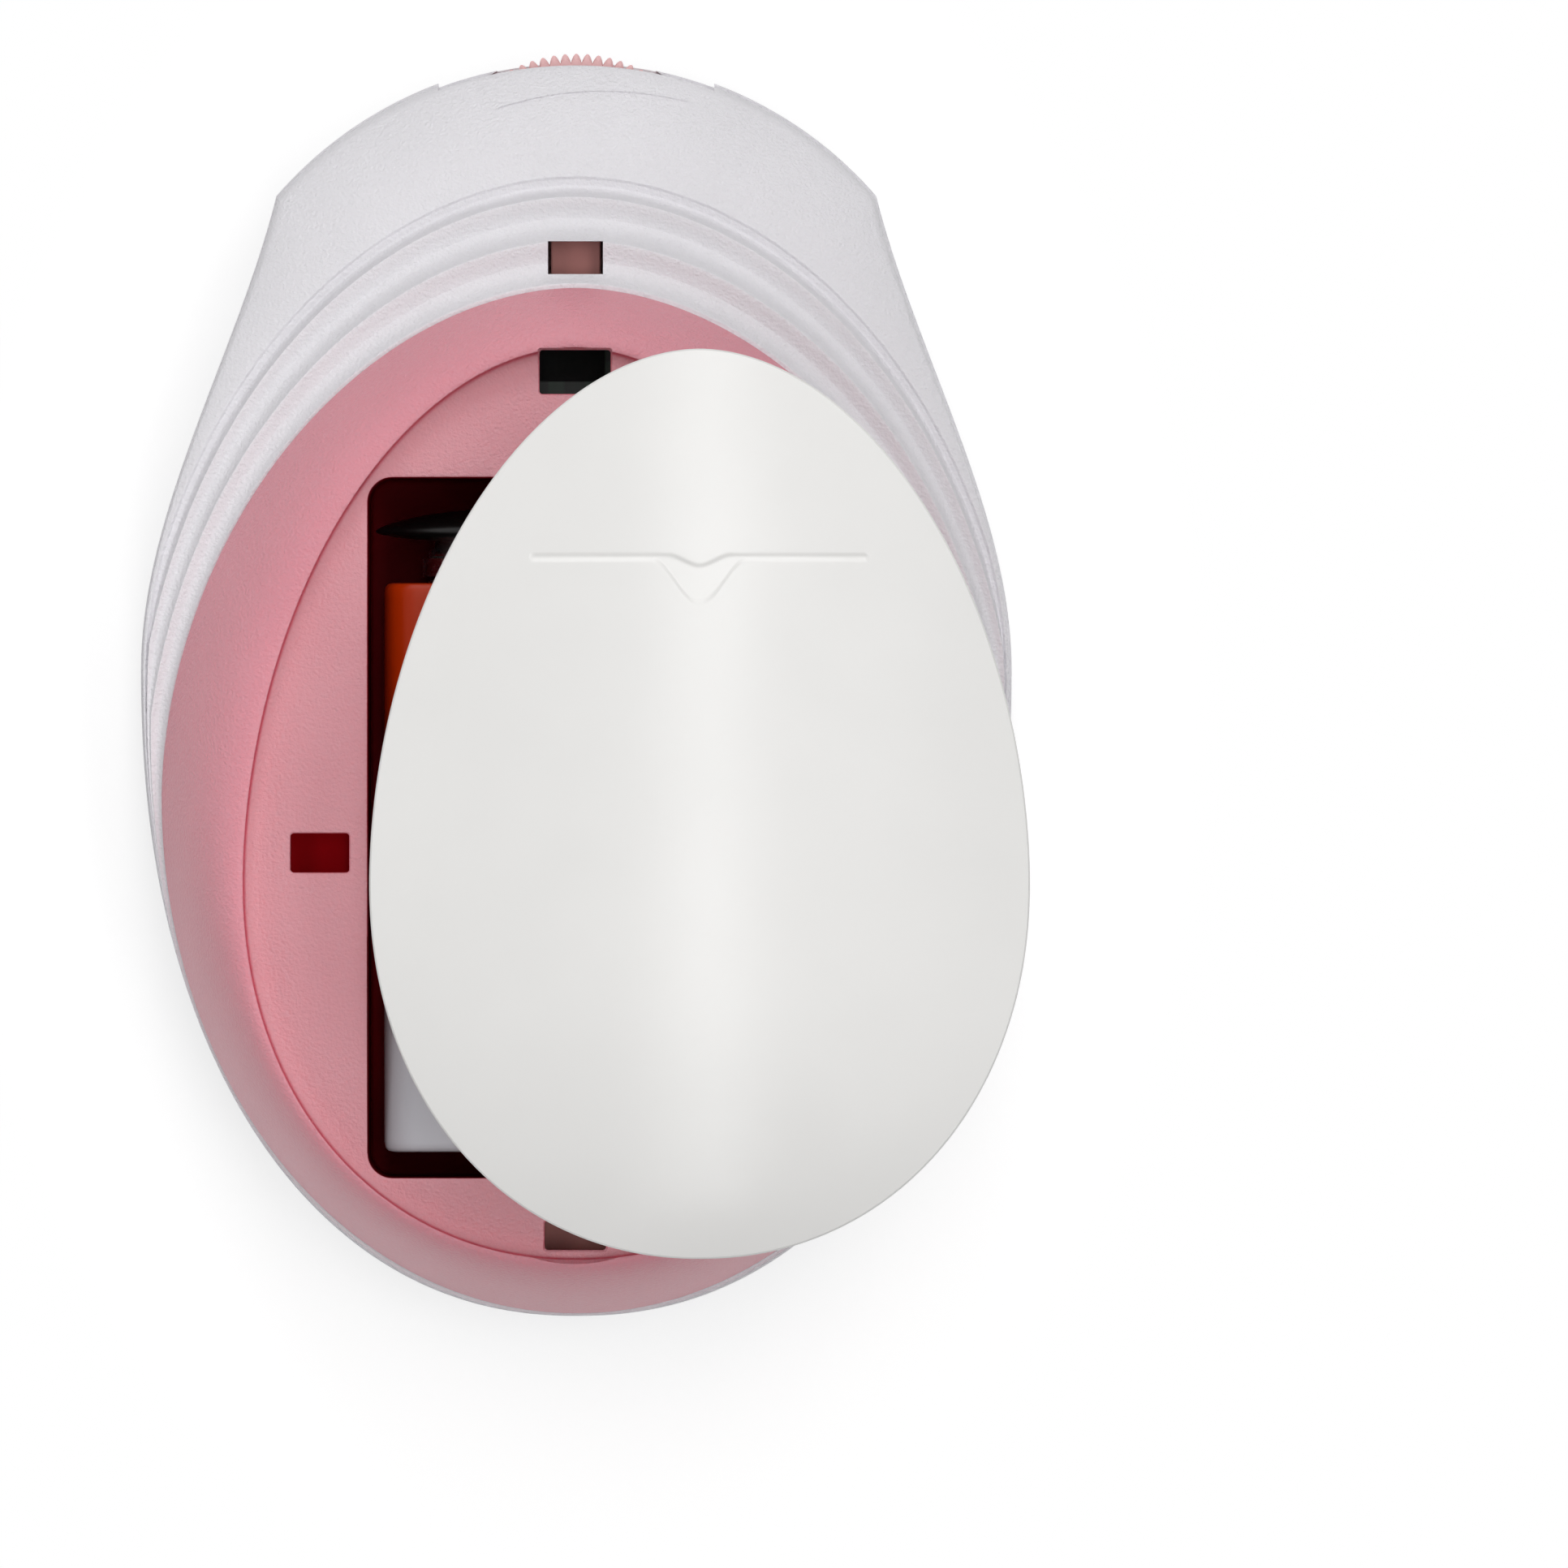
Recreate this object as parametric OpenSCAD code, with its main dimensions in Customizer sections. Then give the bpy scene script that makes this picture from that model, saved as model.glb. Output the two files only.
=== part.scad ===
// Fetal doppler monitor: an egg-shaped hand-held unit that lies on its probe face.
// Plan: +Y points to the head end with the volume wheel, +Z out of the battery side.
// The origin is the middle of the probe's contact face. All lengths are millimetres.

/* [Body outline] */
// Width across the widest line
body_w = 71.4; // [66:0.2:78]
// Widest line ahead of the probe's middle
widest_y = 5; // [2:0.5:8]
// Widest line to the tail tip
tail_l = 53; // [50:0.5:58]
// Widest line to the head tip
head_l = 50.1; // [46:0.5:56]
// Fullness of the tail curve
tail_full = 2.18; // [2:0.02:2.4]
// Width across the shoulder corners
shoulder_w = 49.2; // [44:0.2:54]
// Plan radius of the head's end face
head_r = 32.5; // [29:0.5:38]
// Slope with which the flank runs into the shoulder
flank_slope = 0.87; // [0.6:0.01:1.2]

/* [Heights] */
// Height of the parting line
parting_z = 13; // [12:0.2:14.4]
// Height of the flat belly
belly_z = 2.5; // [2:0.1:3.2]
// Rise of the belly at the head tip
head_rise = 2; // [0:0.2:2.4]
// Height of the collar's seat at the head end of the dome
seat_head_z = 27.2; // [26:0.2:29]
// Height of the collar's seat at the tail
seat_tail_z = 14.5; // [14:0.1:15.5]
// Height of the recess floor at its middle
floor_z = 34.4; // [33.6:0.2:37]

/* [Shells] */
// Wall of the bottom shell and the collar
wall = 2; // [1.6:0.1:2.4]
// Step of the collar inside the bottom shell's outline
parting_step = 0.3; // [0.1:0.05:0.5]
// Depth of the collar's spigot
spigot_h = 1.4; // [0.8:0.1:1.8]
// Thickness of the collar's spigot
spigot_t = 1; // [0.8:0.1:1.2]
// Gap between parts that are pushed together
fit_gap = 0.1; // [0.05:0.05:0.15]
// Fall of the head's deck per millimetre
deck_fall = 0.59; // [0.5:0.01:0.65]
// Crown of the head's deck per millimetre of its width
deck_crown = 0.08; // [0:0.01:0.12]
// Rounding along the head's upper rim
rim_r = 1; // [0.4:0.1:1.4]
// Half width of the shallow bay around the volume wheel
bay_half = 11.3; // [9:0.1:14]
// Depth of that bay
bay_depth = 0.33; // [0.2:0.01:0.5]

/* [Terraces of the collar] */
// Inner crest to the dome's edge, at the flank
crest3_side = 1.4; // [1:0.05:1.7]
// Inner crest to the dome's edge, at the head
crest3_head = 3.9; // [3.4:0.1:4.4]
// Inner step's foot to the dome's edge, at the flank
foot2_side = 1.75; // [1.7:0.05:1.95]
// Inner step's foot to the dome's edge, at the head
foot2_head = 5.1; // [4.6:0.1:5.6]
// Outer crest to the dome's edge, at the flank
crest2_side = 2.35; // [2:0.05:2.7]
// Outer crest to the dome's edge, at the head
crest2_head = 7.5; // [7:0.1:8]
// Crease to the dome's edge, at the flank
crease_side = 3.1; // [2.8:0.05:3.6]
// Crease to the dome's edge, at the head
crease_head = 9.2; // [8.8:0.1:10]
// Fall from the dome's foot to the inner crest
crest3_drop = 1; // [0.6:0.1:1.2]
// Height of the inner step
step3_h = 1.3; // [1:0.1:1.6]
// Fall from the inner step's foot to the outer crest
crest2_drop = 0.5; // [0.3:0.1:0.8]
// Height of the outer step
step2_h = 1.9; // [1.4:0.1:2.2]

/* [Dome] */
// Outline to the dome's edge, at the flanks
dome_side = 1.85; // [1.2:0.05:3.4]
// Middle line of the dome behind the probe's middle
dome_back = 5.7; // [4:0.1:8]
// Head tip to the dome's edge
deck_l = 19; // [17:0.1:21]
// Tail tip to the dome's edge
tail_margin = 0.25; // [0.2:0.05:2]
// Height of the dome's upright edge
dome_edge_h = 0.7; // [0.4:0.1:1.2]
// Thickness of the dome
dome_t = 2; // [1.6:0.1:2.4]
// Roundness of the dome's rim
rim_power = 2.2; // [1.6:0.1:3]
// Width of the collar's seat under the dome's edge
seat_w = 2.2; // [2:0.1:2.4]

/* [Recess and cover] */
// Width of the dome's rim at the flanks
rim_side = 6.75; // [6:0.05:8]
// Middle line of the recess behind the probe's middle
mouth_back = 12.4; // [11:0.1:14]
// Width of the dome's rim at the head
rim_head = 4.9; // [3.6:0.1:7]
// Width of the dome's rim at the tail
rim_tail = 4.55; // [4.2:0.05:6]
// Slant of the recess wall in plan
mouth_draft = 1.5; // [1.4:0.1:2]
// Depth of the recess
recess_d = 2; // [1.8:0.1:2.4]
// Fall of the recess floor to the flanks
side_drop = 4; // [3:0.1:5]
// Fall of the recess floor to the head
head_drop = 2.5; // [1.5:0.1:3.5]
// Fall of the recess floor to the tail
tail_drop = 6; // [4.5:0.1:7]
// Gap around the seated cover
cover_gap = 0.3; // [0.25:0.05:0.4]
// Gap under the seated cover
cover_lift = 0.25; // [0.2:0.05:0.4]
// How far the taken-off cover stands aside
cover_aside = 10.2; // [0:0.1:20]
// Rise of the cover per millimetre aside
cover_rise = 2; // [1.9:0.1:3]

/* [Battery compartment] */
// Room for a finger beside the battery
finger_room = 6; // [4:0.1:6.4]
// Room for the snap connector ahead of the battery
snap_room = 8.6; // [7:0.1:9]
// Compartment's tail wall behind the probe's middle
pocket_back = 36.5; // [35:0.1:36.8]
// Corner radius of the compartment
pocket_r = 2; // [1:0.1:3]
// Height of the compartment's floor
pocket_z = 11.6; // [11.4:0.1:12]
// Wall of the compartment
pocket_t = 1.5; // [1.2:0.1:1.6]
// Thickness of the two spacer ribs
rib_t = 1.5; // [1:0.1:3]
// Height of the two spacer ribs above the compartment's floor
rib_h = 13; // [6:0.5:14]

/* [Slots and tabs] */
// Width of the head slot
head_slot_w = 5.8; // [5:0.1:7]
// Length of the head slot
head_slot_l = 3.6; // [3:0.1:3.8]
// Width of the flank slots
side_slot_w = 4.8; // [4:0.1:5]
// Length of the flank slots
side_slot_l = 3.2; // [2.8:0.1:5]
// Width of the tail slot
tail_slot_w = 5; // [4.5:0.1:7]
// Length of the tail slot
tail_slot_l = 2.4; // [2:0.1:2.6]
// Flank slots behind the probe's middle
side_slot_back = 10; // [4:0.1:16]
// Reach of the cover's tabs below the recess floor
tab_reach = 2.8; // [2.2:0.1:3]
// Room beside each tab on the side to which the cover leaves
tab_room = 2.1; // [1.9:0.1:2.4]
// Gap around the tabs
tab_gap = 0.4; // [0.3:0.05:0.6]
// Width of the collar's latch window
window_w = 4.5; // [3:0.1:7]
// Length of the latch window
window_l = 2.7; // [2:0.1:3]
// Dome's edge to the latch window
window_out = 1.15; // [0.8:0.05:1.5]
// Thickness of the dome's latch tongue
tongue_t = 1.3; // [1:0.1:1.8]

/* [Volume wheel] */
// Radius over the teeth
wheel_r = 11.6; // [10.4:0.1:11.8]
// Number of teeth
wheel_teeth = 78; // [60:1:90]
// Depth of the teeth
tooth_d = 0.75; // [0.5:0.05:0.9]
// Thickness of the wheel
wheel_t = 3.2; // [2.6:0.1:3.4]
// Underside of the wheel
wheel_z = 10.4; // [10.3:0.1:10.6]
// Reach of the teeth beyond the bay
wheel_reach = 0.75; // [0.4:0.05:1.2]
// Room around the wheel in the shells
wheel_room = 0.5; // [0.4:0.05:0.8]
// Radius of the potentiometer's shaft
shaft_r = 2; // [1.5:0.05:2.5]
// Running gap around the shaft
shaft_gap = 0.06; // [0.04:0.01:0.1]
// Radius of the potentiometer
pot_r = 5.6; // [5:0.1:7]
// Height of the potentiometer
pot_h = 1.8; // [1.4:0.1:1.85]

/* [Board] */
// Underside of the main board
board_z = 6.8; // [6.7:0.1:7]
// Thickness of the main board
board_t = 1.6; // [1.2:0.1:1.6]
// Width of the main board
board_w = 36.6; // [34:0.1:36.8]
// Compartment to the board
board_gap = 2.5; // [2.4:0.1:3]
// Board to the end wall
board_front_gap = 1.3; // [1.2:0.1:2]
// Board screws beside the middle line
board_screw_x = 13; // [11:0.1:14.5]
// Jacks to the board screws' heads
board_screw_gap = 0.6; // [0.4:0.1:2]

/* [Headphone jacks] */
// Board's side edge to the jacks' middle
jack_edge = 3.1; // [2.9:0.1:3.3]
// Radius of the jack's bore for a 3.5 mm plug
jack_bore_r = 1.8; // [1.76:0.01:1.9]
// Depth of the bore
jack_depth = 14; // [13:0.1:15]
// Radius of the jack's barrel
barrel_r = 2.5; // [2.4:0.1:2.5]
// Length of the barrel
barrel_l = 4.4; // [4:0.1:4.8]
// Width of the jack's body
jack_w = 6; // [5.4:0.1:6]
// Length of the jack's body
jack_l = 12; // [10:0.1:12.4]
// Height of the jack's body
jack_h = 5; // [5:0.1:5.4]
// Collar's spigot to the jack's body
jack_clear = 0.49; // [0.4:0.01:1]

/* [Nine volt battery] */
// Width of the battery
cell_w = 26.5; // [25.5:0.1:26.5]
// Thickness of the battery
cell_t = 17.5; // [16.5:0.1:17.5]
// Length of the battery's case
cell_l = 46.4; // [45:0.1:46.8]
// Corner radius of the case
cell_r = 2.6; // [2:0.1:3.5]
// Compartment's left wall to the battery
cell_side = 1.3; // [0.4:0.1:2]
// Compartment's tail wall to the battery
cell_end = 2.1; // [1:0.1:2.4]
// Compartment's floor to the battery
cell_lift = 0.3; // [0.1:0.05:0.35]
// Distance between the two terminals
snap_pitch = 12.7; // [12:0.1:13]
// Radius of the positive stud
stud_r = 2.85; // [2.6:0.05:3]
// Height of the terminals
stud_h = 2.1; // [1.8:0.1:2.4]
// Outer radius of the negative crown
crown_r = 3.7; // [3.5:0.1:4]
// Wall of the snap terminals
snap_t = 0.4; // [0.3:0.05:0.5]
// Width of the snap connector
clip_w = 26; // [22:0.1:27]
// Height of the snap connector
clip_h = 9.5; // [9:0.1:11]
// Thickness of the snap connector
clip_t = 4.2; // [3:0.1:4.6]
// Share of the snap connector's width left at its back
clip_taper = 0.78; // [0.6:0.01:1]
// Radius of the leads
lead_r = 0.75; // [0.6:0.05:0.8]
// Distance between the battery leads
lead_pitch = 7; // [5:0.1:9]
// Bend radius of the leads
lead_bend = 2.2; // [1.8:0.1:2.6]
// Compartment's wall to the leads' way down
lead_drop = 4.6; // [4:0.1:5.2]

/* [Probe] */
// Radius of the contact face
probe_r = 22; // [20:0.1:22.4]
// Thickness of the contact face
probe_t = 1.5; // [1.2:0.1:1.6]
// Radius of the bezel's flange
bezel_r = 26.5; // [25.6:0.1:27]
// Lower edge of the bezel above the contact face
bezel_z = 0.9; // [0.5:0.1:1.1]
// Wall of the bezel's sleeve
bezel_t = 2.1; // [1.6:0.1:2.2]
// Length of the bezel's sleeve
bezel_h = 6.6; // [6:0.1:6.8]
// Thickness of the gasket
gasket_t = 0.4; // [0.2:0.05:0.5]
// Radius of the two crystals
crystal_r = 9; // [7:0.1:12]
// Thickness of the crystals
crystal_t = 0.9; // [0.6:0.1:1]
// Thickness of the divider between the crystals
divider_t = 0.8; // [0.6:0.1:1.2]
// Radius of the backing
backing_r = 18; // [14:0.1:20]
// Thickness of the backing
backing_t = 3.6; // [3:0.1:3.8]
// Thickness of the probe's cap
cap_t = 1; // [0.8:0.1:1.2]

/* [Screws] */
// Radius of the housing screws
screw_r = 1.1; // [1:0.05:1.3]
// Radius of the housing screws' heads
screw_head_r = 2.2; // [2:0.05:2.4]
// Height of the housing screws' heads
screw_head_h = 1.5; // [1.2:0.1:1.6]
// Seat of the housing screws
screw_seat_z = 5.4; // [5.2:0.1:5.6]
// Length of the housing screws under the head
screw_l = 12.6; // [11:0.1:13]
// Radius of the screw bosses
boss_r = 2.8; // [2.4:0.1:2.9]
// Outline to the head screws
head_screw_in = 6.61; // [6.3:0.01:6.8]
// Shoulder corners to the head screws
head_screw_back = 10.84; // [10.4:0.01:12]
// Outline to the tail screws
tail_screw_in = 7.17; // [6.8:0.01:8.6]
// Tail screws behind the probe's middle
tail_screw_back = 22; // [18:0.1:24]
// Radius of the small screws
small_r = 0.85; // [0.7:0.05:0.95]
// Radius of the small screws' heads
small_head_r = 1.9; // [1.6:0.05:2]
// Height of the small screws' heads
small_head_h = 1.1; // [0.8:0.1:1.2]

/* [Hidden] */
$fn = 48;
// Samples around the body
N = 72;
// Gap that keeps two touching pieces apart
touch = 0.05;

half_w = body_w / 2;
tip_y = widest_y + head_l;
tail_y = widest_y - tail_l;
arc_y = tip_y - head_r;
corner_x = shoulder_w / 2;
corner_y = arc_y + sqrt(head_r * head_r - corner_x * corner_x);
dome_yc = -dome_back;
dome_w = body_w - 2 * dome_side;
dome_head = tip_y - deck_l + dome_back;
dome_tail = -tail_y - tail_margin - dome_back;
mouth_yc = -mouth_back;
mouth_w = dome_w - 2 * rim_side;
mouth_head = dome_yc + dome_head - rim_head + mouth_back;
mouth_tail = dome_back + dome_tail - rim_tail - mouth_back;
cover_up = cover_aside * cover_rise;

// ---- outline curves ----
function sign1(v) = v < 0 ? -1 : 1;
function mix(a, b, s) = a + (b - a) * s;
function smooth(s) = let(c = min(1, max(0, s))) c * c * (3 - 2 * c);
function fold(t) = t > 90 && t <= 270 ? 180 - t : t > 270 ? t - 360 : t;

// Egg with its own head and tail half, as a point at the angle t
function egg(w, yc, up, down, pu, pd, t) =
  let(s = sin(t), p = s < 0 ? pd : pu, a = s < 0 ? down : up)
  [w * sign1(cos(t)) * pow(abs(cos(t)), 2 / p), yc + a * sign1(s) * pow(abs(s), 2 / p)];

dome_pu = 1.885;
dome_pd = 2.02;
mouth_pu = 1.9;
mouth_pd = 2.1;
function dome_point(t) = egg(dome_w / 2, dome_yc, dome_head, dome_tail, dome_pu, dome_pd, t);
function dome_normal(t) =
  let(q = dome_point(t), up = q[1] >= dome_yc, p = up ? dome_pu : dome_pd)
  let(a = up ? dome_head : dome_tail, w = dome_w / 2, dy = q[1] - dome_yc)
  let(g = [sign1(q[0]) * pow(abs(q[0]) / w, p - 1) / w, sign1(dy) * pow(abs(dy) / a, p - 1) / a])
  g / norm(g);
function mouth_point(inset, t) =
  egg(mouth_w / 2 - inset, mouth_yc, mouth_head - inset, mouth_tail - inset, mouth_pu, mouth_pd, t);

// Half width of the body's outline at y
function flank(u) = (3 - flank_slope) * u * u + (flank_slope - 2) * u * u * u;
function half_at(y) =
  y <= tail_y || y >= tip_y ? 0
  : y < widest_y ? half_w * pow(1 - pow((widest_y - y) / tail_l, tail_full), 1 / tail_full)
  : y < corner_y ? half_w - (half_w - corner_x) * flank((y - widest_y) / (corner_y - widest_y))
  : sqrt(head_r * head_r - (y - arc_y) * (y - arc_y));

// Distance from the dome's edge to the outline along the edge's normal
function reach(q, n, lo, hi, k) =
  k == 0 ? lo
  : let(m = (lo + hi) / 2, p = q + n * m)
    abs(p[0]) < half_at(p[1]) ? reach(q, n, m, hi, k - 1) : reach(q, n, lo, m, k - 1);
function reach_at(t) = reach(dome_point(t), dome_normal(t), -dome_side, head_l, 24);
function outline_y(t) = dome_point(t)[1] + dome_normal(t)[1] * reach_at(t);
function find_corner(lo, hi, k) =
  k == 0 ? lo
  : let(m = (lo + hi) / 2)
    outline_y(m) < corner_y ? find_corner(m, hi, k - 1) : find_corner(lo, m, k - 1);
corner_t = find_corner(35, 85, 16);

// Angles of the samples, one of them on each shoulder corner
step_t = 360 / N;
function snap_t_at(a) = abs(a - corner_t) < step_t / 2 ? corner_t : a;
function sample(a) = a <= 90 ? snap_t_at(a) : a <= 180 ? 180 - snap_t_at(180 - a) : a;
T = [for (i = [0:N - 1]) sample(i * step_t)];
E = [for (t = T) dome_point(t)];
U = [for (t = T) dome_normal(t)];
D = [for (i = [0:N - 1]) reach(E[i], U[i], -dome_side, head_l, 24)];

function at(i, d, z) = let(q = E[i] + U[i] * d) [q[0], q[1], z];

// ---- crown of the recess floor ----
function crown(p) =
  let(dy = p[1] - mouth_yc, sx = p[0] / (mouth_w / 2))
  let(v = dy > 0 ? head_drop * pow(dy / mouth_head, 2) : tail_drop * pow(-dy / mouth_tail, 2.6))
  floor_z - side_drop * sx * sx - v;

// ---- faces between closed rows of points ----
function band(r, s, flip) =
  [for (i = [0:N - 1], k = [0, 1])
    let(j = (i + 1) % N, a = r * N + i, b = r * N + j, c = s * N + j, d = s * N + i)
    flip ? (k == 0 ? [a, c, b] : [a, d, c]) : (k == 0 ? [a, b, c] : [a, c, d])];
function fan(r, c, flip) =
  [for (i = [0:N - 1]) let(a = r * N + i, b = r * N + (i + 1) % N) flip ? [c, b, a] : [c, a, b]];

function turned(rows) = [for (k = [len(rows) - 1:-1:0]) rows[k]];

// Ring-shaped solid whose section at each sample is the list sec(i)
module ring_solid(rows) {
  k = len(rows[0]);
  pts = [for (j = [0:k - 1], i = [0:N - 1]) rows[i][j]];
  faces = [for (j = [0:k - 1]) each band(j, (j + 1) % k, true)];
  polyhedron(points = pts, faces = faces, convexity = 10);
}

// Dish-shaped solid: rows from the lower middle point, outwards and up to the upper one
module dish_solid(rows, first, last) {
  k = len(rows);
  pts = concat([for (r = rows) each r], [first, last]);
  faces = concat(fan(0, k * N, false),
    [for (j = [0:k - 2]) each band(j, j + 1, true)], fan(k - 1, k * N + 1, true));
  polyhedron(points = pts, faces = faces, convexity = 10);
}

// ---- heights of the collar ----
function seat_z(i) =
  mix(seat_tail_z, seat_head_z, (E[i][1] - dome_yc + dome_tail) / (dome_tail + dome_head));
function collar_d(i) = D[i] - min(parting_step, D[i] / 4);
function ring_d(i, side, head, cap) =
  min(mix(side, head, smooth(fold(T[i]) / 90)), collar_d(i) * cap);
function ring_z(i, d, head, drop) = seat_z(i) - drop * d / head;
foot2_drop = crest3_drop + step3_h;
crest2_fall = foot2_drop + crest2_drop;
crease_drop = crest2_fall + step2_h;

function collar_section(i) =
  let(s = seat_z(i), o = collar_d(i))
  let(dc = ring_d(i, crease_side, crease_head, 0.94), zc = ring_z(i, dc, crease_head, crease_drop))
  let(d2 = ring_d(i, crest2_side, crest2_head, 0.86), z2 = ring_z(i, d2, crest2_head, crest2_fall))
  let(f2 = ring_d(i, foot2_side, foot2_head, 0.78), y2 = ring_z(i, f2, foot2_head, foot2_drop))
  let(d3 = ring_d(i, crest3_side, crest3_head, 0.7), z3 = ring_z(i, d3, crest3_head, crest3_drop))
  let(r = min(rim_r, (o - dc) * 0.4), zr = zc - deck_fall * (o - dc))
  let(m = (dc + o - r) / 2, zm = (zc + zr + deck_fall * r) / 2 + deck_crown * (o - dc))
  let(inner = D[i] - wall - fit_gap - spigot_t, under = min(f2, inner))
  let(z9 = max(parting_z + 0.12, y2 - wall), z8 = max(parting_z + 0.2, s - wall))
  let(z10 = max(parting_z + 0.05, min(zr - wall * 0.75, z9 - 0.05)))
  [at(i, o, parting_z), at(i, o, zr - r), at(i, o - r, zr + deck_fall * r), at(i, m, zm),
    at(i, dc, zc), at(i, d2, z2), at(i, f2, y2), at(i, d3, z3), at(i, d3 * 0.27, s),
    at(i, -seat_w, s), at(i, -seat_w, z8), at(i, under, z9), at(i, inner, z10),
    at(i, inner, parting_z - spigot_h), at(i, inner + spigot_t, parting_z - spigot_h),
    at(i, inner + spigot_t, parting_z)];

// ---- rows of the dome ----
skirt_in = 1.5;
function dome_top_z(i, u) =
  let(z1 = seat_z(i) + dome_edge_h, m = mouth_point(0, T[i]), zm = crown(m) + recess_d)
  mix(z1, zm, 1 - pow(1 - u, rim_power));
function dome_row(u) =
  [for (i = [0:N - 1]) let(q = mix(E[i], mouth_point(0, T[i]), u)) [q[0], q[1], dome_top_z(i, u)]];
function floor_row(inset, s, dz) =
  [for (t = T)
    let(m = mouth_point(inset, t), q = [m[0] * s, mix(mouth_yc, m[1], s)]) [q[0], q[1], crown(q) + dz]];
mid_z = crown([0, mouth_yc]);

module dome_body() {
  lip = seat_w + touch * 4;
  rows = [
    floor_row(mouth_draft, 0.34, 0), floor_row(mouth_draft, 0.68, 0), floor_row(mouth_draft, 1, 0),
    dome_row(1), dome_row(0.72), dome_row(0.45), dome_row(0.24), dome_row(0.1), dome_row(0),
    [for (i = [0:N - 1]) at(i, 0, seat_z(i) + touch)],
    [for (i = [0:N - 1]) at(i, -lip, seat_z(i) + touch)],
    [for (i = [0:N - 1]) at(i, -lip, seat_z(i) - 1)],
    [for (i = [0:N - 1]) at(i, -lip - skirt_in, seat_z(i) - 1)],
    [for (i = [0:N - 1]) at(i, -lip - skirt_in, dome_top_z(i, 0.38) - dome_t)],
    floor_row(mouth_draft, 1, -dome_t), floor_row(mouth_draft, 0.68, -dome_t),
    floor_row(mouth_draft, 0.34, -dome_t)];
  dish_solid(turned(rows), [0, mouth_yc, mid_z - dome_t], [0, mouth_yc, mid_z]);
}

// ---- battery compartment ----
pocket_w = cell_side + cell_w + finger_room;
pocket_front = cell_end + cell_l + snap_room - pocket_back;
pocket_left = -pocket_w / 2;
pocket_mid = (pocket_front - pocket_back) / 2;
pocket_len = pocket_front + pocket_back;
pocket_under = pocket_z - pocket_t;

module rounded(w, l, r) {
  hull_x = w / 2 - r;
  hull_y = l / 2 - r;
  square([w - 2 * r, l], center = true);
  square([w, l - 2 * r], center = true);
  for (x = [-hull_x, hull_x], y = [-hull_y, hull_y]) translate([x, y]) circle(r);
}

// Outline of the compartment's walls as points, to carry them up into the dome's floor
pocket_n = 8;
function corner_pt(q, k, w, l, r) =
  let(cx = (q == 0 || q == 3 ? 1 : -1) * (w / 2 - r), cy = (q < 2 ? 1 : -1) * (l / 2 - r))
  [cx + r * cos(90 * q + 90 * k / pocket_n), pocket_mid + cy + r * sin(90 * q + 90 * k / pocket_n)];
edge_n = 6;
function pocket_path(w, l, r) =
  let(c = [for (q = [0:3], k = [0:pocket_n]) corner_pt(q, k, w, l, r)], m = len(c))
  [for (i = [0:m - 1]) let(a = c[i], b = c[(i + 1) % m], n = i % (pocket_n + 1) == pocket_n ? edge_n : 1)
    each [for (j = [0:n - 1]) mix(a, b, j / n)]];

module pocket_block() {
  path = pocket_path(pocket_w + 2 * pocket_t, pocket_len + 2 * pocket_t, pocket_r + pocket_t);
  m = len(path);
  top = [for (p = path) [p[0], p[1], crown(p) - dome_t / 2]];
  low = [for (p = path) [p[0], p[1], pocket_under]];
  ends = [[0, pocket_mid, pocket_under], [0, pocket_mid, crown([0, pocket_mid]) - dome_t / 2]];
  pts = concat(low, top, ends);
  faces = [for (i = [0:m - 1], k = [0:3]) let(j = (i + 1) % m)
    k == 0 ? [i, m + j, j] : k == 1 ? [i, m + i, m + j] : k == 2 ? [2 * m, i, j] : [2 * m + 1, m + j, m + i]];
  polyhedron(points = pts, faces = faces, convexity = 6);
}

// ---- battery place ----
cell_x = pocket_left + cell_side + cell_w / 2;
cell_y0 = -pocket_back + cell_end;
cell_y1 = cell_y0 + cell_l;
cell_z = pocket_z + cell_lift;
cell_mid_z = cell_z + cell_t / 2;
cell_right = cell_x + cell_w / 2;

// ---- slots ----
head_slot_y = mouth_yc + mouth_head - mouth_draft + 1.3 - head_slot_l / 2;
tail_slot_y = mouth_yc - mouth_tail + mouth_draft - 0.7 + tail_slot_l / 2;
side_slot_x = pocket_w / 2 + pocket_t + side_slot_w / 2;

module slots() {
  for (s = [[0, head_slot_y, head_slot_w, head_slot_l],
      [0, tail_slot_y, tail_slot_w, tail_slot_l],
      [-side_slot_x, -side_slot_back, side_slot_w, side_slot_l],
      [side_slot_x, -side_slot_back, side_slot_w, side_slot_l]])
    translate([s[0], s[1], crown([s[0], s[1]])]) cube([s[2], s[3], dome_t * 6], center = true);
}

// Tab of the cover in a slot, drawn in place with the cover seated
module tab(x, y, w, l) {
  tw = w - tab_gap - tab_room;
  tl = l - 2 * tab_gap;
  z = crown([x, y]);
  translate([x - w / 2 + tab_gap, y - tl / 2, z - tab_reach]) cube([tw, tl, tab_reach + cover_lift + 0.8]);
}

// ---- screws and bosses ----
head_screw_y = corner_y - head_screw_back;
head_screw_x = half_at(head_screw_y) - head_screw_in;
tail_screw_x = half_at(-tail_screw_back) - tail_screw_in;
head_screws = [[-head_screw_x, head_screw_y], [head_screw_x, head_screw_y]];
tail_screws = [[-tail_screw_x, -tail_screw_back], [tail_screw_x, -tail_screw_back]];
pilot_r = screw_r + touch;
screw_tip = screw_seat_z + screw_l;
board_y0 = pocket_front + pocket_t + board_gap;
board_top = board_z + board_t;
jack_x = board_w / 2 - jack_edge;
jack_z = board_top + touch + jack_h / 2;
end_wall_r = head_r - wall - fit_gap - spigot_t;
jack_front_y = arc_y + sqrt(pow(end_wall_r, 2) - pow(jack_x + jack_w / 2, 2)) - jack_clear;
jack_mouth_y = jack_front_y + barrel_l;
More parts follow.
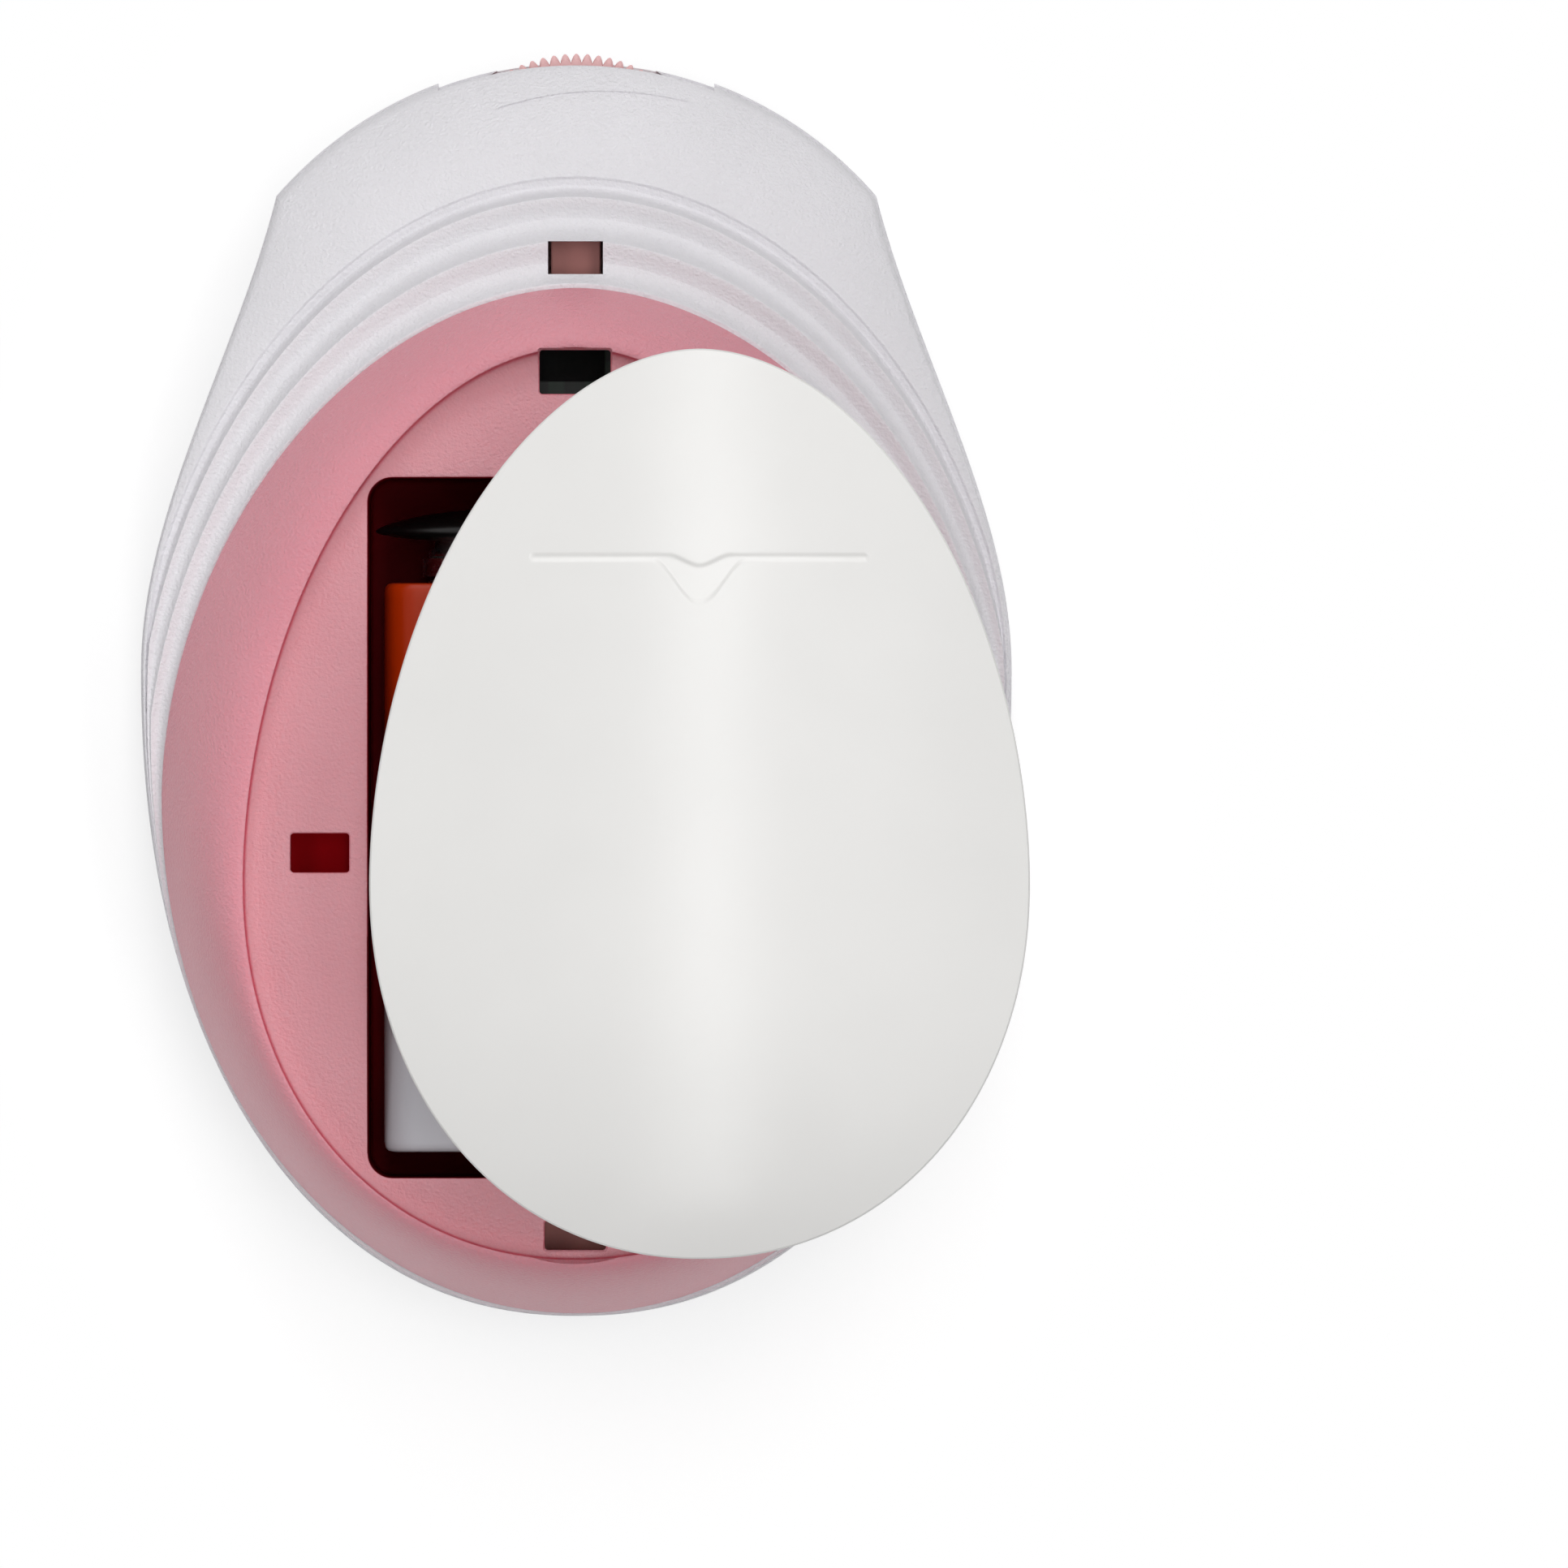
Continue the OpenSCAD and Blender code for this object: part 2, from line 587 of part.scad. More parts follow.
board_screw_y = jack_front_y - jack_l - board_screw_gap - small_head_r;
wheel_y = tip_y - bay_depth + wheel_reach - wheel_r;

module pilot(p, top) {
  translate([p[0], p[1], parting_z - 1]) cylinder(r = pilot_r, h = top - parting_z + 1);
}

// Room for the wheel, cut alike from both shells
module wheel_cut() {
  translate([0, wheel_y, wheel_z - 0.4])
    cylinder(r = wheel_r + wheel_room, h = wheel_t + 0.8, $fn = 96);
}

// Shallow bay in an end face that stands back by the step given
module bay_cut(step) {
  translate([0, arc_y, 0]) linear_extrude(floor_z) difference() {
    translate([-bay_half, 0]) square([2 * bay_half, head_r + 3]);
    circle(head_r - step - bay_depth, $fn = 180);
  }
}

module jack_cut() {
  for (s = [-1, 1]) translate([s * jack_x, jack_mouth_y - barrel_l - touch, jack_z])
    rotate([-90, 0, 0]) cylinder(r = barrel_r + 0.3, h = 20);
}

// ---- shells ----
bore_r = probe_r + fit_gap + bezel_t + fit_gap;
function belly_at(y) = belly_z + head_rise * pow(max(0, y - 26) / (tip_y - 26), 2);
function belly_row(d, z) = [for (i = [0:N - 1]) let(p = at(i, D[i] - d, 0)) [p[0], p[1], z]];
function low_row(d, dz) = [for (i = [0:N - 1]) let(p = at(i, D[i] - d, 0)) [p[0], p[1], belly_at(p[1]) + dz]];
belly_t = 1.8;

module bottom_body() {
  rows = [
    low_row(14, 0), low_row(6.5, 0), low_row(3.4, 0.9), low_row(1.3, 3), low_row(0.3, 6),
    belly_row(0, parting_z - 2), belly_row(0, parting_z),
    belly_row(wall, parting_z), belly_row(wall + 0.05, parting_z - 2.2),
    low_row(0.5 + wall, 6), low_row(1.6 + wall, 3.2), low_row(7, belly_t), low_row(14, belly_t)];
  dish_solid(rows, [0, -2, belly_z], [0, -2, belly_z + belly_t]);
}

module bottom_shell() {
  color("white") difference() {
    union() {
      bottom_body();
      for (p = concat(head_screws, tail_screws)) translate([p[0], p[1], belly_z + 0.6]) {
        cylinder(r = boss_r, h = parting_z - belly_z - 0.6 - touch);
        translate([0, 0, 1.1]) cylinder(r = screw_head_r + 1.5, h = screw_seat_z - belly_z - 0.7);
      }
      for (s = [-1, 1]) translate([s * board_screw_x, board_screw_y, belly_z + 0.6])
        cylinder(r = 2.3, h = board_z - touch - belly_z - 0.6);
      translate([0, wheel_y, belly_z + 0.8]) cylinder(r = 3, h = board_z - touch - belly_z - 0.8);
    }
    translate([0, 0, -1]) cylinder(r = bore_r, h = belly_z + belly_t + 3, $fn = 96);
    for (p = concat(head_screws, tail_screws)) translate([p[0], p[1], 0]) {
      cylinder(r = screw_r + 0.3, h = parting_z + 1);
      cylinder(r = screw_head_r + 0.3, h = screw_seat_z);
    }
    for (s = [-1, 1]) translate([s * board_screw_x, board_screw_y, belly_z + belly_t + 0.3])
      cylinder(r = small_r + touch, h = 6);
    wheel_cut();
    bay_cut(0);
    jack_cut();
  }
}

window_y = E[N / 4][1] + window_out + window_l / 2;
tongue_top = seat_head_z - foot2_drop - wall - 0.3;

module collar_shell() {
  color("white") difference() {
    union() {
      ring_solid([for (i = [0:N - 1]) collar_section(i)]);
      for (p = head_screws) translate([p[0], p[1], parting_z]) cylinder(r = boss_r, h = 7.4);
    }
    for (p = head_screws) pilot(p, screw_tip + 0.3);
    translate([-window_w / 2, window_y - window_l / 2, seat_head_z - 6]) cube([window_w, window_l, 10]);
    wheel_cut();
    bay_cut(parting_step);
    jack_cut();
  }
}

module dome_shell() {
  lip = seat_w + touch * 4;
  head_y = E[N / 4][1];
  color("pink") {
    difference() {
      union() {
        dome_body();
        pocket_block();
        for (p = tail_screws) translate([p[0], p[1], parting_z])
          cylinder(r = boss_r, h = crown(p) - parting_z - dome_t / 2);
      }
      translate([0, pocket_mid, pocket_z]) linear_extrude(40) rounded(pocket_w, pocket_len, pocket_r);
      for (p = tail_screws) pilot(p, screw_tip + 0.3);
      for (s = [-1, 1]) translate([cell_x + s * lead_pitch / 2, pocket_front - 1, cell_mid_z])
        rotate([-90, 0, 0]) cylinder(r = lead_r + 0.3, h = pocket_t + 2);
      slots();
      nail_cut();
    }
    for (y = [-28, -3]) translate([cell_right + 0.3, y, pocket_z - 0.3])
      cube([pocket_w / 2 - cell_right, rib_t, rib_h]);
    // latch tongue below the collar's window
    translate([-window_w / 2 + 0.25, head_y - lip - skirt_in + 0.1, tongue_top - tongue_t])
      cube([window_w - 0.5, lip + skirt_in + window_out + window_l, tongue_t]);
    translate([-window_w / 2 + 0.25, head_y - lip - skirt_in + 0.1, tongue_top - tongue_t])
      cube([window_w - 0.5, skirt_in - 0.2, seat_head_z - tongue_top + tongue_t]);
  }
}

// Finger-nail notch in the recess rim at the tail
nail_r = 5.9;
nail_d = 0.9;
module nail_cut() {
  z = crown([0, mouth_yc - mouth_tail]) + recess_d;
  translate([0, mouth_yc - mouth_tail + 0.5, z + nail_r - nail_d]) sphere(r = nail_r, $fn = 40);
}

module battery_cover() {
  gap = cover_gap;
  top = recess_d;
  rows = [
    floor_row(gap, 0.34, top), floor_row(gap, 0.68, top), floor_row(gap + 0.35, 1, top),
    floor_row(gap + 0.05, 1, top - 0.35), floor_row(mouth_draft + gap, 1, cover_lift),
    floor_row(mouth_draft + gap, 0.68, cover_lift), floor_row(mouth_draft + gap, 0.34, cover_lift)];
  color("white") translate([cover_aside, 0, cover_up]) union() {
    dish_solid(turned(rows), [0, mouth_yc, mid_z + cover_lift], [0, mouth_yc, mid_z + top]);
    tab(0, head_slot_y, head_slot_w, head_slot_l);
    tab(0, tail_slot_y, tail_slot_w, tail_slot_l);
    for (s = [-1, 1]) tab(s * side_slot_x, -side_slot_back, side_slot_w, side_slot_l);
  }
}

module housing_screws() {
  color("silver") for (p = concat(head_screws, tail_screws)) translate([p[0], p[1], screw_seat_z]) {
    translate([0, 0, -screw_head_h - touch]) difference() {
      cylinder(r = screw_head_r, h = screw_head_h);
      for (a = [0, 90]) rotate(a) translate([0, 0, 0.3]) cube([2.2, 0.5, 0.8], center = true);
    }
    translate([0, 0, -touch - 0.01]) cylinder(r = screw_r, h = screw_l);
  }
}

// ---- board ----
// Curve of the bottom shell's wall at the board's height
foot_round = 1.3;
module main_board() {
  color("darkgreen") translate([0, 0, board_z]) linear_extrude(board_t) difference() {
    intersection() {
      translate([-board_w / 2, board_y0]) square([board_w, tip_y - board_y0]);
      translate([0, arc_y]) circle(head_r - wall - foot_round - board_front_gap, $fn = 120);
    }
    for (s = [-1, 1]) translate([s * board_screw_x, board_screw_y]) circle(small_r + 0.25);
    translate([0, wheel_y]) circle(shaft_r + 0.4);
  }
}

// Chips on the board: middle from the board's edge, width and length
chips = [[-1.2, 6.6, 7, 5], [6.2, 9, 5, 5], [-7.5, 9.5, 3, 3], [3.9, 3.2, 1.2, 2], [-9.6, 6, 2, 1.2]];
module board_chips() {
  color("black") for (c = chips) translate([c[0] - c[2] / 2, board_y0 + c[1] - c[3] / 2, board_top + touch])
    cube([c[2], c[3], 1]);
}

can_r = 2;
can_h = 5.4;
can_x = board_screw_x - 4.1;
module board_capacitors() {
  color("navy") for (x = [-can_x, can_x]) translate([x, board_y0 + can_r + 0.3, board_top + touch])
    rotate_extrude()
      polygon([[0, 0], [can_r, 0], [can_r, can_h - 0.4], [can_r - 0.4, can_h], [0, can_h]]);
}

board_screw_l = 3.7;
module board_screws() {
  color("silver") for (s = [-1, 1]) translate([s * board_screw_x, board_screw_y, board_top + touch]) {
    cylinder(r = small_head_r, h = small_head_h);
    translate([0, 0, -board_screw_l]) cylinder(r = small_r, h = board_screw_l + 0.2);
  }
}

module jack(s) {
  translate([s * jack_x, jack_mouth_y, jack_z]) rotate([90, 0, 0]) difference() {
    union() {
      translate([-jack_w / 2, -jack_h / 2, barrel_l]) cube([jack_w, jack_h, jack_l]);
      cylinder(r = barrel_r, h = barrel_l + 1);
    }
    translate([0, 0, -1]) cylinder(r = jack_bore_r, h = jack_depth + 1);
  }
}
module headphone_jack_left() { color("dimgray") jack(-1); }
module headphone_jack_right() { color("dimgray") jack(1); }

// ---- volume wheel ----
module potentiometer_base() {
  color("gray") translate([0, wheel_y, board_top + touch]) difference() {
    cylinder(r = pot_r, h = pot_h);
    translate([0, 0, -1]) cylinder(r = shaft_r + shaft_gap, h = pot_h + 2);
  }
}

wheel_hub_r = 3.4;
module potentiometer_shaft() {
  color("silver") translate([0, wheel_y, board_top + 0.3]) difference() {
    cylinder(r = shaft_r, h = wheel_z + wheel_t - 0.8 - board_top - 0.3);
    translate([0, 0, 2]) cylinder(r = small_r + touch, h = 10);
  }
}

module volume_wheel() {
  root = wheel_r - tooth_d;
  da = 360 / wheel_teeth;
  color("pink") translate([0, wheel_y, wheel_z]) difference() {
    linear_extrude(wheel_t) difference() {
      polygon([for (i = [0:wheel_teeth - 1], k = [0:2])
        let(a = 90 + (i + [-0.16, 0.16, 0.5][k]) * da, r = k == 2 ? root : wheel_r)
        [r * cos(a), r * sin(a)]]);
      circle(shaft_r + 0.02);
    }
    // dished upper and lower faces between hub and rim
    for (z = [-1, wheel_t - 0.7]) translate([0, 0, z]) difference() {
      cylinder(r = root - 1.4, h = 1.7);
      translate([0, 0, -1]) cylinder(r = wheel_hub_r, h = 4);
    }
  }
}

module wheel_screw() {
  color("silver") translate([0, wheel_y, wheel_z + wheel_t + touch]) {
    cylinder(r = 2.6, h = 0.9);
    translate([0, 0, -2.6]) cylinder(r = small_r, h = 2.8);
  }
}

// ---- battery ----
module cell_frame() {
  translate([cell_x, cell_y1, cell_mid_z]) rotate([90, 0, 0]) children();
}
plate_in = 0.8;
plate_t = 1;
module battery_case() {
  color("orange") cell_frame() difference() {
    linear_extrude(cell_l) rounded(cell_w, cell_t, cell_r);
    translate([0, 0, -1]) linear_extrude(1 + plate_t + 0.2)
      rounded(cell_w - 2 * plate_in, cell_t - 2 * plate_in, cell_r - plate_in);
  }
}

module battery_top_plate() {
  color("black") cell_frame() translate([0, 0, 0.15]) linear_extrude(plate_t)
    rounded(cell_w - 2 * plate_in - 0.1, cell_t - 2 * plate_in - 0.1, cell_r - plate_in);
}

// terminals stand on the plate: local -Z points out of the battery
module battery_positive_stud() {
  color("silver") cell_frame() translate([-snap_pitch / 2, 0, 0.1]) rotate([180, 0, 0]) rotate_extrude()
    polygon([[0, 0], [stud_r + 0.5, 0], [stud_r + 0.5, 0.3], [stud_r - 0.2, 0.5], [stud_r, stud_h - 0.4],
      [stud_r - 0.4, stud_h], [0, stud_h]]);
}

module battery_negative_crown() {
  color("silver") cell_frame() translate([snap_pitch / 2, 0, 0.1]) rotate([180, 0, 0]) difference() {
    rotate_extrude() polygon([[0, 0], [crown_r + 0.2, 0], [crown_r - 0.3, 0.5], [crown_r, stud_h],
      [crown_r - snap_t, stud_h], [crown_r - snap_t - 0.3, 0.5], [0, 0.5]]);
    for (a = [0:60:120]) rotate(a) translate([0, 0, stud_h]) cube([20, 0.5, 2.4], center = true);
  }
}

clip_y = cell_y1 - 0.1 + stud_h + 0.1;
module clip_frame() {
  translate([cell_x, clip_y, cell_mid_z]) rotate([-90, 0, 0]) children();
}
module snap_connector() {
  color("black") clip_frame() linear_extrude(clip_t, scale = clip_taper)
    rounded(clip_w, clip_h, clip_h / 2 - 0.1);
}

snap_h = stud_h - 0.6;
module snap_contacts() {
  color("silver") clip_frame() {
    translate([-snap_pitch / 2, 0, -snap_h]) difference() {
      cylinder(r = stud_r + 0.55 + snap_t, h = snap_h - touch);
      translate([0, 0, -1]) cylinder(r = stud_r + 0.1, h = snap_h + 2);
    }
    translate([snap_pitch / 2, 0, -snap_h]) cylinder(r = crown_r - snap_t - 0.45, h = snap_h - touch);
  }
}

// Lead from the connector over the compartment's wall hole down to the board
lead_y0 = clip_y + clip_t + touch;
lead_y1 = pocket_front + pocket_t + lead_drop;
module lead(x) {
  translate([x, lead_y0, cell_mid_z]) rotate([-90, 0, 0])
    cylinder(r = lead_r, h = lead_y1 - lead_bend - lead_y0);
  translate([x, lead_y1 - lead_bend, cell_mid_z - lead_bend]) rotate([90, 0, 90])
    rotate_extrude(angle = 90) translate([lead_bend, 0]) circle(lead_r, $fn = 24);
  translate([x, lead_y1, board_top + touch])
    cylinder(r = lead_r, h = cell_mid_z - lead_bend - board_top - touch);
}
module battery_lead_red() { color("red") lead(cell_x - lead_pitch / 2); }
module battery_lead_black() { color("black") lead(cell_x + lead_pitch / 2); }

// ---- probe ----
module probe_face() {
  color("lightblue") rotate_extrude($fn = 96)
    polygon([[0, 0], [probe_r - 0.6, 0], [probe_r, 0.6], [probe_r, probe_t], [0, probe_t]]);
}

bezel_in = probe_r + fit_gap;
bezel_flange_z = belly_z - gasket_t - 2 * touch;
module probe_bezel() {
  color("white") rotate_extrude($fn = 96) polygon([[bezel_in, bezel_z], [bezel_r - 0.8, bezel_z],
    [bezel_r, bezel_z + 0.6], [bezel_r, bezel_flange_z], [bezel_in + bezel_t, bezel_flange_z],
    [bezel_in + bezel_t, bezel_z + bezel_h], [bezel_in, bezel_z + bezel_h]]);
}

module probe_gasket() {
  color("gray") translate([0, 0, bezel_flange_z + touch]) linear_extrude(gasket_t) difference() {
    circle(bezel_r - 0.3, $fn = 96);
    circle(bore_r + 0.1, $fn = 96);
  }
}

crystal_z = probe_t + touch;
module crystal(s) {
  translate([0, 0, crystal_z]) linear_extrude(crystal_t) intersection() {
    circle(crystal_r);
    translate([s > 0 ? divider_t / 2 + touch : -20 - divider_t / 2 - touch, -20]) square([20, 40]);
  }
}
module transmit_crystal() { color("khaki") crystal(-1); }
module receive_crystal() { color("khaki") crystal(1); }
module probe_divider() {
  color("tan") translate([-divider_t / 2, -crystal_r, crystal_z]) cube([divider_t, 2 * crystal_r, crystal_t]);
}

backing_z = crystal_z + crystal_t + touch;
module probe_backing() {
  color("saddlebrown") translate([0, 0, backing_z]) cylinder(r = backing_r, h = backing_t);
}

cap_z = backing_z + backing_t + touch;
module probe_cap() {
  color("gainsboro") translate([0, 0, cap_z]) cylinder(r = probe_r - touch, h = cap_t, $fn = 96);
}

// Screened lead from the probe to the board
probe_lead_x = 5.2;
probe_lead_y = 14;
probe_lead_z = board_top + touch + lead_r;
module probe_lead() {
  b = 1.2;
  up = cap_z + cap_t + touch;
  color("dimgray") {
    translate([probe_lead_x, probe_lead_y + b, probe_lead_z]) rotate([-90, 0, 0])
      cylinder(r = lead_r, h = board_y0 + 1.6 - probe_lead_y - b);
    translate([probe_lead_x, probe_lead_y + b, probe_lead_z - b]) rotate([90, 0, 90])
      rotate(90) rotate_extrude(angle = 90) translate([b, 0]) circle(lead_r, $fn = 24);
    translate([probe_lead_x, probe_lead_y, up]) cylinder(r = lead_r, h = max(0.05, probe_lead_z - b - up));
  }
}

bottom_shell();
collar_shell();
dome_shell();
battery_cover();
housing_screws();
main_board();
board_chips();
board_capacitors();
board_screws();
headphone_jack_left();
headphone_jack_right();
potentiometer_base();
potentiometer_shaft();
volume_wheel();
wheel_screw();
battery_case();
battery_top_plate();
battery_positive_stud();
battery_negative_crown();
snap_connector();
snap_contacts();
battery_lead_red();
battery_lead_black();
probe_face();
probe_bezel();
probe_gasket();
transmit_crystal();
receive_crystal();
probe_divider();
probe_backing();
probe_cap();
probe_lead();
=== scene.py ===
import math

import bmesh
import bpy
import numpy as np
from mathutils import Matrix, Vector


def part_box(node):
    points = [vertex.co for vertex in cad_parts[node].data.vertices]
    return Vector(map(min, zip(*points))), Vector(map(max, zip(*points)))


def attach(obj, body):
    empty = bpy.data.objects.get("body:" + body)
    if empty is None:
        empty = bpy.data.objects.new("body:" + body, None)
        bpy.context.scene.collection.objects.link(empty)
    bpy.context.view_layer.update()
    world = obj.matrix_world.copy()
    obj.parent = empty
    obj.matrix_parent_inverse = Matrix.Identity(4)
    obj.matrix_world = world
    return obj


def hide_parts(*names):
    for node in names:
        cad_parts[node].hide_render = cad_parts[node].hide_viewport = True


# Fetal doppler monitor, dressed. Lengths in this script are millimetres, in the row frame:
# +Y to the head end with the volume wheel, +Z out of the battery side. MM turns them into metres.
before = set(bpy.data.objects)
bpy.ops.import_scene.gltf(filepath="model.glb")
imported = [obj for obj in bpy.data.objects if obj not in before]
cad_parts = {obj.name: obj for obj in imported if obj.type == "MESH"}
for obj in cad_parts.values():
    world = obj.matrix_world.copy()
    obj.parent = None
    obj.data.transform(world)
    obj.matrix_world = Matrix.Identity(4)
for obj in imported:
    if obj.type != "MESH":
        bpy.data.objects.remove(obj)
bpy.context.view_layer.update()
MM = 0.001
TAU = 2 * math.pi

# ---- driving sizes: the construction's, then fine detail that only this script has ----
BODY_W, WIDEST_Y, TAIL_L, HEAD_L, TAIL_FULL = 71.4, 5.0, 53.0, 50.1, 2.18
SHOULDER_W, HEAD_R, FLANK_SLOPE = 49.2, 32.5, 0.87
PARTING_Z, BELLY_Z, HEAD_RISE = 13.0, 2.5, 2.0
SEAT_HEAD_Z, SEAT_TAIL_Z, FLOOR_Z = 27.2, 14.5, 34.4
WALL, PARTING_STEP, SPIGOT_H, SPIGOT_T, FIT_GAP = 2.0, 0.3, 1.4, 1.0, 0.1
DECK_FALL, DECK_CROWN, RIM_R, BAY_HALF, BAY_DEPTH = 0.59, 0.08, 1.0, 11.3, 0.33
DOME_SIDE, DOME_BACK, DECK_L, TAIL_MARGIN, DOME_EDGE_H, DOME_T = 1.85, 5.7, 19.0, 0.25, 0.7, 2.0
RIM_SIDE, RIM_HEAD, RIM_TAIL, RIM_POWER, SEAT_W = 6.75, 4.9, 4.55, 1.8, 2.2
MOUTH_BACK, MOUTH_DRAFT, RECESS_D = 12.4, 1.5, 2.0
DOME_SWELL = 0.6  # swell of the band outside the recess, which rises to about a fifth of this
SIDE_DROP, HEAD_DROP, TAIL_DROP = 4.0, 2.5, 6.0
COVER_GAP, COVER_LIFT, COVER_ASIDE, COVER_RISE = 0.3, 0.25, 10.2, 2.0
POCKET_W, POCKET_FRONT, POCKET_BACK, POCKET_R, POCKET_Z, POCKET_T = 33.8, 20.6, 36.5, 2.0, 11.6, 1.5
RIB_T, RIB_H, RIB_Y = 1.5, 13.0, (-28.0, -3.0)
HEAD_SLOT_W, HEAD_SLOT_L, HEAD_SLOT_PAST = 5.8, 3.6, 1.3  # width, length, reach past the recess wall's foot
TAIL_SLOT_W, TAIL_SLOT_L, TAIL_SLOT_PAST = 5.0, 2.4, 0.7
SIDE_SLOT_W, SIDE_SLOT_L, SIDE_SLOT_BACK = 4.8, 3.2, 10.0
TAB_REACH, TAB_ROOM, TAB_GAP = 2.8, 2.1, 0.4
WINDOW_W, WINDOW_L, WINDOW_OUT = 4.5, 2.7, 1.15
WHEEL_R, WHEEL_TEETH, TOOTH_D, WHEEL_T, WHEEL_Z = 11.6, 78, 0.75, 3.2, 10.4
WHEEL_REACH, WHEEL_ROOM, SHAFT_R = 0.74, 0.5, 2.0
SCREW_R, SCREW_HEAD_R, SCREW_SEAT_Z = 1.1, 2.2, 5.4
PROBE_R, BEZEL_T = 22.0, 2.1
JACK_HOLE_R = 1.9  # leaves the ledge at the parting line whole
CORNER_IN, CORNER_UP, CORNER_POWER = 7.4, 8.2, 0.92  # the bottom's lower corner
BELLY_BEND_Y = 26  # the belly rises from here to the head
BOSS_INSET = 0.6  # least skin outside the screw bosses
WELL_DEPTH, WELL_WALL = 4.4, 0.4  # cups under the slots
SIGN_LEFT, SIGN_RIGHT, SIGN_TALL, SIGN_DEPTH = -6.74, 8.6, 0.9, 0.12  # rising wedge beside the wheel
SIGN_Y, SIGN_TILT, SIGN_SAG = 51.79, 0.022, 0.0187  # its lower edge
GRIP_Y, GRIP_HALF, GRIP_DEPTH = 13.95, 13.8, 0.2  # line of the cover's finger grip
GRIP_DIP = 3.35  # reach of its point towards the tail
GRIP_EDGE = 0.45  # width of its soft edges
WING_MORE = 1.0  # thin vinyl past the snap connector's stiff core
# each terrace line of the collar: distance from the dome's edge at flank and head, and its fall
CREST3, FOOT2, CREST2, CREASE = (1.4, 3.9), (1.75, 5.1), (2.35, 7.5), (3.1, 9.2)
CREST3_DROP, FOOT2_DROP, CREST2_DROP, CREASE_DROP = 1.0, 2.3, 2.8, 4.7
LIP = 0.2  # fine lip along the deck's inner end
SINK, BEND = 0.17, 4  # fall of each terrace as a share of its width, and how late it bends up again
TERRACE_SHARES = np.array([0.1, 0.22, 0.35, 0.48, 0.6, 0.7, 0.78, 0.85, 0.9, 0.94, 0.975, 1.0])
DOME_POWERS, MOUTH_POWERS = (1.885, 2.02), (1.9, 2.1)

# ---- derived places ----
TIP_Y = WIDEST_Y + HEAD_L
TAIL_Y = WIDEST_Y - TAIL_L
ARC_Y = TIP_Y - HEAD_R
CORNER_X = SHOULDER_W / 2
CORNER_Y = ARC_Y + math.sqrt(HEAD_R**2 - CORNER_X**2)
DOME_Y = -DOME_BACK
DOME_HALF = BODY_W / 2 - DOME_SIDE
DOME_HEAD = TIP_Y - DECK_L + DOME_BACK
DOME_TAIL = -TAIL_Y - TAIL_MARGIN - DOME_BACK
MOUTH_Y = -MOUTH_BACK
MOUTH_HALF = DOME_HALF - RIM_SIDE
MOUTH_HEAD = DOME_Y + DOME_HEAD - RIM_HEAD + MOUTH_BACK
MOUTH_TAIL = DOME_BACK + DOME_TAIL - RIM_TAIL - MOUTH_BACK
POCKET_MID = (POCKET_FRONT - POCKET_BACK) / 2
POCKET_LEN = POCKET_FRONT + POCKET_BACK
HEAD_SLOT_Y = MOUTH_Y + MOUTH_HEAD - MOUTH_DRAFT + HEAD_SLOT_PAST - HEAD_SLOT_L / 2
TAIL_SLOT_Y = MOUTH_Y - MOUTH_TAIL + MOUTH_DRAFT - TAIL_SLOT_PAST + TAIL_SLOT_L / 2
SIDE_SLOT_X = POCKET_W / 2 + POCKET_T + SIDE_SLOT_W / 2
SLOTS = [(0.0, HEAD_SLOT_Y, HEAD_SLOT_W, HEAD_SLOT_L), (0.0, TAIL_SLOT_Y, TAIL_SLOT_W, TAIL_SLOT_L)]
SLOTS += [(side * SIDE_SLOT_X, -SIDE_SLOT_BACK, SIDE_SLOT_W, SIDE_SLOT_L) for side in (-1, 1)]
WHEEL_Y = TIP_Y - BAY_DEPTH + WHEEL_REACH - WHEEL_R
AROUND = 720  # samples round the body


# ---- curves ----
def egg(half, middle, up, down, powers, t):
    """Points of an egg with its own head and tail half, at the angles t."""
    c, s = np.cos(t), np.sin(t)
    power = np.where(s < 0, powers[1], powers[0])
    reach = np.where(s < 0, down, up)
    x = half * np.sign(c) * np.abs(c) ** (2 / power)
    y = middle + reach * np.sign(s) * np.abs(s) ** (2 / power)
    return np.stack([x, y], -1)


def dome_edge(t):
    return egg(DOME_HALF, DOME_Y, DOME_HEAD, DOME_TAIL, DOME_POWERS, t)


def dome_normal(t):
    """Outward plan normal of the dome's edge."""
    p = dome_edge(t)
    x, y = p[:, 0], p[:, 1] - DOME_Y
    power = np.where(y < 0, DOME_POWERS[1], DOME_POWERS[0])
    reach = np.where(y < 0, DOME_TAIL, DOME_HEAD)
    gx = np.sign(x) * (np.abs(x) / DOME_HALF) ** (power - 1) / DOME_HALF
    gy = np.sign(y) * (np.abs(y) / reach) ** (power - 1) / reach
    return np.stack([gx, gy], -1) / np.hypot(gx, gy)[:, None]


def mouth(inset, t):
    half, up, down = MOUTH_HALF - inset, MOUTH_HEAD - inset, MOUTH_TAIL - inset
    return egg(half, MOUTH_Y, up, down, MOUTH_POWERS, t)


